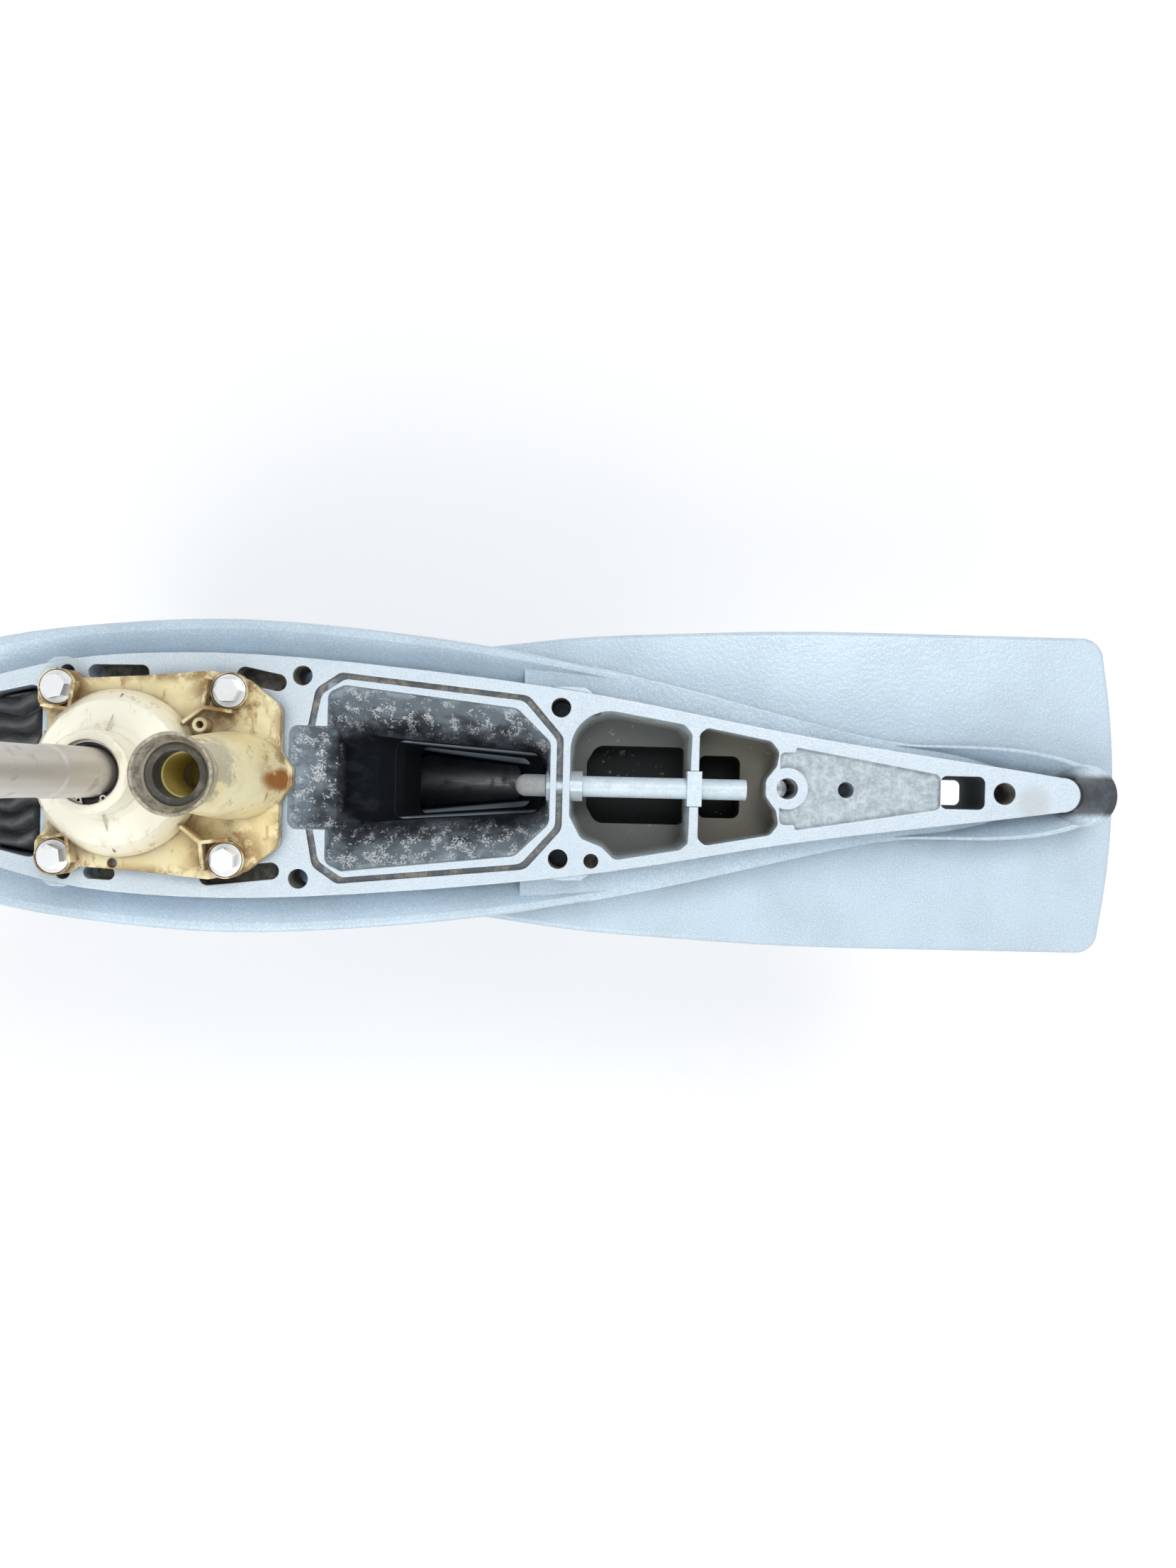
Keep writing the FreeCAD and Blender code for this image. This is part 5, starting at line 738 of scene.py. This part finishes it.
def front_rubber_piece():
    """A ribbed rubber block that fills the front recess round the shift rod.

    Rows go from the rod's hole out to the recess's outline, and columns go round the rod. The outline's
    distance comes from its corners in polar form. The top is a base height, plus ribs that are a rectified
    sine of a bent y, plus lumps that are a product of two slow sines. The last rows close it underneath.
    """
    low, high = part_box("front_rubber_seal")
    rod_low, rod_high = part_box("shift_rod")
    middle = np.array([(rod_low.x + rod_high.x) / 2, 0.0])
    side = np.array([(-0.1285, 0.0165), (-0.0990, 0.0182), (-0.0822, 0.0455), (-0.0523, high.y - 0.0006)])
    corners = np.vstack([side, side[::-1] * (1, -1)])
    angles = np.arctan2(corners[:, 1], corners[:, 0] - middle[0])
    order = np.argsort(angles)
    turn = np.linspace(-np.pi, np.pi, 420, endpoint=False)
    place = np.searchsorted(angles[order], turn, side="right")
    first = order[place - 1]
    after = order[place % len(order)]
    start, end = corners[first] - middle, corners[after] - middle
    ray = np.stack([np.cos(turn), np.sin(turn)], axis=1)
    edge = end - start
    along_edge = start[:, 0] * edge[:, 1] - start[:, 1] * edge[:, 0]
    outer = along_edge / (ray[:, 0] * edge[:, 1] - ray[:, 1] * edge[:, 0])
    share = np.linspace(0, 1, 56)[:, None]
    distance = FRONT_ROD_HOLE + (outer[None, :] - FRONT_ROD_HOLE) * share
    x = middle[0] + distance * ray[:, 0]
    y = distance * ray[:, 1]
    bent = y + 0.0035 * np.sin(x * 62 + 0.8) + 0.0016 * np.sin(x * 210 + y * 90)
    ribs = np.abs(np.sin(np.pi * bent / RIB_SPACING)) ** 0.7
    lumps = np.sin(x * 150 + 1.1) * np.sin(y * 95 + 0.6)
    rounded = np.sqrt(np.clip(share * (1 - share) * 14, 0, 1))
    top = low.z + RIB_FOOT + RIB_HEIGHT * ribs * rounded + LUMP_HEIGHT * lumps
    top = np.minimum(top, high.z)
    floor_row = np.full((1, len(turn)), low.z)
    x = np.vstack([x[:1], x, x[-1:]])
    y = np.vstack([y[:1], y, y[-1:]])
    z = np.vstack([floor_row, top, floor_row])
    return surface_piece("front_rubber_block", x, y, z, wrap_rows=True, wrap_columns=True)


def threaded_piece(name, start, end, axis_y, axis_z, root, crest, pitch, along_x, inward=False):
    """A screw thread: the radius is a triangle wave of the distance along the axis less the turn.

    The waves fade out over one pitch at both ends. An inward thread is turned the other way, so that
    its normals face the axis.
    """
    turn = np.linspace(0, 2 * np.pi, 64, endpoint=False)[None, :] * (1 if inward else -1)
    along = np.arange(start, end + pitch / 16, pitch / 8)[:, None]
    wave = np.abs(((along / pitch - turn / (2 * np.pi)) % 1.0) * 2 - 1)
    fade = np.clip(np.minimum(along - start, end - along) / pitch, 0, 1)
    radius = root + (crest - root) * wave * fade
    across, up = radius * np.cos(turn), radius * np.sin(turn)
    along = along + 0 * turn
    if along_x:
        return surface_piece(name, along, axis_y + across, axis_z + up, wrap_columns=True)
    return surface_piece(name, axis_y + across, axis_z + up, along, wrap_columns=True)


# What a user would change


class LowerUnitSettings(bpy.types.PropertyGroup):
    """Colours of the lower unit and the floor, and the camera that it is seen from."""

    paint: bpy.props.FloatVectorProperty(
        name="Paint", description="Colour of the casting's paint", subtype="COLOR", min=0, max=1,
        default=(0.565, 0.69, 0.785))
    plastic: bpy.props.FloatVectorProperty(
        name="Pump plastic", description="Colour of the water pump's housing", subtype="COLOR", min=0, max=1,
        default=(0.94, 0.86, 0.56))
    floor: bpy.props.FloatVectorProperty(
        name="Floor", description="Colour of the floor", subtype="COLOR", min=0, max=1,
        default=(0.88, 0.88, 0.87))
    camera_height: bpy.props.FloatProperty(
        name="Camera height", description="Camera above the deck", subtype="DISTANCE", unit="LENGTH",
        default=0.715)
    camera_aft: bpy.props.FloatProperty(
        name="Camera place", description="Camera aft of the driveshaft", subtype="DISTANCE", unit="LENGTH",
        default=0.280)
    camera_roll: bpy.props.FloatProperty(
        name="Camera roll", description="Turn of the picture", subtype="ANGLE", unit="ROTATION",
        default=math.radians(1.366))


# Operators, one for each group of like pieces


class FinishCasting(bpy.types.Operator):
    """Paints the gearcase casting"""

    bl_idname = "lower_unit.casting"
    bl_label = "Casting"

    def execute(self, context):
        dress(["gearcase_housing"], "casting")
        return {"FINISHED"}


class FinishPump(bpy.types.Operator):
    """Finishes the water pump's housing and inner parts"""

    bl_idname = "lower_unit.pump"
    bl_label = "Water pump"

    def execute(self, context):
        dress(["water_pump_housing"], "pump")
        dress(["pump_insert_cup", "pump_wear_plate"], "stainless")
        dress(["pump_base_gasket", "oil_plug_gaskets"], "gasket")
        dress(["impeller"], "black rubber")
        return {"FINISHED"}


class FinishFasteners(bpy.types.Operator):
    """Finishes bolts, washers, plugs, clips and screws"""

    bl_idname = "lower_unit.fasteners"
    bl_label = "Fasteners"

    def execute(self, context):
        dress(["pump_bolts", "pump_washers"], "bolts")
        dress(["collar_circlip", "trim_tab_bolt", "inlet_screen_screws", "oil_drain_plug", "oil_level_plug",
               "carrier_lock_washer"], "stainless")
        return {"FINISHED"}


class FinishShafts(bpy.types.Operator):
    """Finishes the driveshaft, the propeller shaft and the shift rod"""

    bl_idname = "lower_unit.shafts"
    bl_label = "Shafts"

    def execute(self, context):
        dress(["driveshaft"], "driveshaft")
        dress(["propeller_shaft"], "propeller shaft")
        dress(["shift_rod"], "stainless")
        return {"FINISHED"}


class FinishGears(bpy.types.Operator):
    """Finishes the gears, the clutch and the shift slider"""

    bl_idname = "lower_unit.gears"
    bl_label = "Gears and clutch"

    def execute(self, context):
        dress(["pinion_gear", "pinion_nut", "forward_gear", "reverse_gear", "clutch_dog", "clutch_cross_pin",
               "clutch_spring_ring", "shift_plunger", "shift_slider", "impeller_key",
               "driveshaft_bearing_retainer"], "gear")
        return {"FINISHED"}


class FinishBearings(bpy.types.Operator):
    """Finishes the bearings and the sleeve"""

    bl_idname = "lower_unit.bearings"
    bl_label = "Bearings"

    def execute(self, context):
        dress(["driveshaft_bearing_cone", "driveshaft_bearing_cup", "driveshaft_needle_bearing",
               "forward_gear_bearing_cone", "forward_gear_bearing_cup", "reverse_gear_bearing",
               "carrier_needle_bearing"], "bearing")
        dress(["forward_gear_needle_sleeve"], "bronze")
        return {"FINISHED"}


class FinishCarrier(bpy.types.Operator):
    """Finishes the bearing carrier, its ring nut and the trim tab"""

    bl_idname = "lower_unit.carrier"
    bl_label = "Carrier and trim tab"

    def execute(self, context):
        dress(["bearing_carrier", "carrier_ring_nut"], "aluminium")
        dress(["trim_tab_anode"], "anode")
        return {"FINISHED"}


class FinishSeals(bpy.types.Operator):
    """Finishes rubber and plain plastic parts"""

    bl_idname = "lower_unit.seals"
    bl_label = "Seals and plastic"

    def execute(self, context):
        dress(["front_rubber_seal", "pump_collar_seal", "driveshaft_lower_seal", "driveshaft_upper_seal",
               "seal_carrier_o_ring", "carrier_o_rings", "propshaft_inner_seal", "propshaft_outer_seal"],
              "black rubber")
        dress(["water_tube_seal"], "grainy rubber")
        dress(["shift_rod_bushing", "oil_seal_carrier", "water_inlet_screens"], "black plastic")
        return {"FINISHED"}


class MakeFrontRubber(bpy.types.Operator):
    """Makes the ribbed rubber block in the front recess"""

    bl_idname = "lower_unit.front_rubber"
    bl_label = "Front rubber"

    def execute(self, context):
        block = stand_for(front_rubber_piece(), "gearcase", finish("worn rubber"), "front_rubber_seal")
        return {"FINISHED"}


class MakeThreads(bpy.types.Operator):
    """Makes the propeller shaft's thread and the thread in the tail boss"""

    bl_idname = "lower_unit.threads"
    bl_label = "Threads"

    def execute(self, context):
        low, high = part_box("propeller_shaft")
        thread = threaded_piece("propeller_shaft_thread", high.x - 0.058, high.x - 0.002, 0.0,
                                (low.z + high.z) / 2, 0.01075, 0.0114, SHAFT_PITCH, True)
        stand_for(thread, "propeller_shaft", finish("stainless"))
        thread = threaded_piece("tail_boss_thread", -0.036, -0.004, 0.401, 0.0, 0.0066, 0.0056, 0.00175,
                                False, True)
        stand_for(thread, "gearcase", finish("aluminium"))
        return {"FINISHED"}


class FinishCrossingTube(bpy.types.Operator):
    """Finishes the tube across the rear cavities, its elbow and its clip"""

    bl_idname = "lower_unit.crossing_tube"
    bl_label = "Crossing tube"

    def execute(self, context):
        dress(["crossing_tube", "crossing_tube_clip"], "silver tube")
        dress(["crossing_tube_elbow"], "white plastic")
        return {"FINISHED"}


class MakeStage(bpy.types.Operator):
    """Adds the floor, the lamps, the world's light and the camera of the photograph"""

    bl_idname = "lower_unit.stage"
    bl_label = "Stage"

    def execute(self, context):
        scene = context.scene
        settings = scene.lower_unit
        low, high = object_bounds()
        floor_material, make, shader, place = start_material("floor")
        uneven = make.product(make.noise(place, 3, 3), 0.06)
        tone = make.mix(uneven, colour(settings.floor), tint("floor shade"))
        tone = make.mix(seen_directly(make), tone, tint("white"))
        x, y, z = apart(make, place)
        glow = make.math("SUBTRACT", 0.40, make.product(spot(make, x, y, FLOOR_MIDDLE, 0.9, 2.4), 0.27))
        glow = make.mix(make.product(seen_directly(make), glow), tint("black"), tint("white"))
        from_above = make.math("SUBTRACT", 1.0, make.add("ShaderNodeNewGeometry").outputs["Backfacing"])
        make.feed(shader, {"Base Color": tone, "Roughness": 0.85, "Alpha": from_above})
        make.feed(shader, {"Emission Color": glow, "Emission Strength": 1.0})
        span = np.linspace(-4, 4, 2)
        x, y = np.meshgrid(span, span, indexing="ij")
        floor = surface_piece("floor", x, y, x * 0 + low[2] - 0.0005)
        floor.data.materials.append(floor_material)
        floor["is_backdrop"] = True
        world = bpy.data.worlds.new("studio")
        world.use_nodes = True
        make = Recipe(world.node_tree)
        strength = make.math("ADD", 0.60, make.product(seen_directly(make), 0.35))
        background = world.node_tree.nodes["Background"]
        make.feed(background, {"Color": (0.95, 0.97, 1.0, 1.0), "Strength": strength})
        scene.world = world
        lamps = (("key", (0.80, 0.85, 1.8), 0.8, 15.0), ("fill", (-0.25, -1.30, 1.7), 1.4, 18.0))
        for name, stand, side, power in lamps:
            lamp = bpy.data.lights.new(name, "AREA")
            lamp.shape = "SQUARE"
            lamp.size = side
            lamp.energy = power
            item = bpy.data.objects.new(name, lamp)
            item.location = stand
            item.rotation_euler = (Vector((0.2, 0, 0)) - Vector(stand)).to_track_quat("-Z", "Y").to_euler()
            scene.collection.objects.link(item)
        camera = bpy.data.cameras.new("photograph")
        camera.sensor_fit = "HORIZONTAL"
        camera.sensor_width = SENSOR_WIDTH
        camera.lens = SENSOR_WIDTH * FOCAL_PIXELS / PHOTO_WIDTH
        camera.clip_start = 0.02
        item = bpy.data.objects.new("photograph", camera)
        item.location = (settings.camera_aft, 0, settings.camera_height)
        item.rotation_euler = (0, 0, settings.camera_roll)
        scene.collection.objects.link(item)
        scene.camera = item
        scene.view_settings.view_transform = "Standard"
        return {"FINISHED"}


STEPS = (FinishCasting, FinishPump, FinishFasteners, FinishShafts, FinishGears, FinishBearings, FinishCarrier,
         FinishSeals, MakeFrontRubber, MakeThreads, FinishCrossingTube, MakeStage)


class LowerUnitPanel(bpy.types.Panel):
    """Lists the steps and the settings"""

    bl_idname = "VIEW3D_PT_lower_unit"
    bl_label = "Lower unit"
    bl_space_type = "VIEW_3D"
    bl_region_type = "UI"
    bl_category = "Lower unit"

    def draw(self, context):
        for step in STEPS:
            self.layout.operator(step.bl_idname)
        for name in ("paint", "plastic", "floor", "camera_height", "camera_aft", "camera_roll"):
            self.layout.prop(context.scene.lower_unit, name)


CLASSES = (LowerUnitSettings, *STEPS, LowerUnitPanel)


def register():
    for item in CLASSES:
        bpy.utils.register_class(item)
    bpy.types.Scene.lower_unit = bpy.props.PointerProperty(type=LowerUnitSettings)


def unregister():
    del bpy.types.Scene.lower_unit
    for item in reversed(CLASSES):
        bpy.utils.unregister_class(item)


def main():
    """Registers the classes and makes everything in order."""
    register()
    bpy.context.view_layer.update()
    for step in STEPS:
        group, name = step.bl_idname.split(".")
        getattr(getattr(bpy.ops, group), name)()


if __name__ == "__main__":
    main()
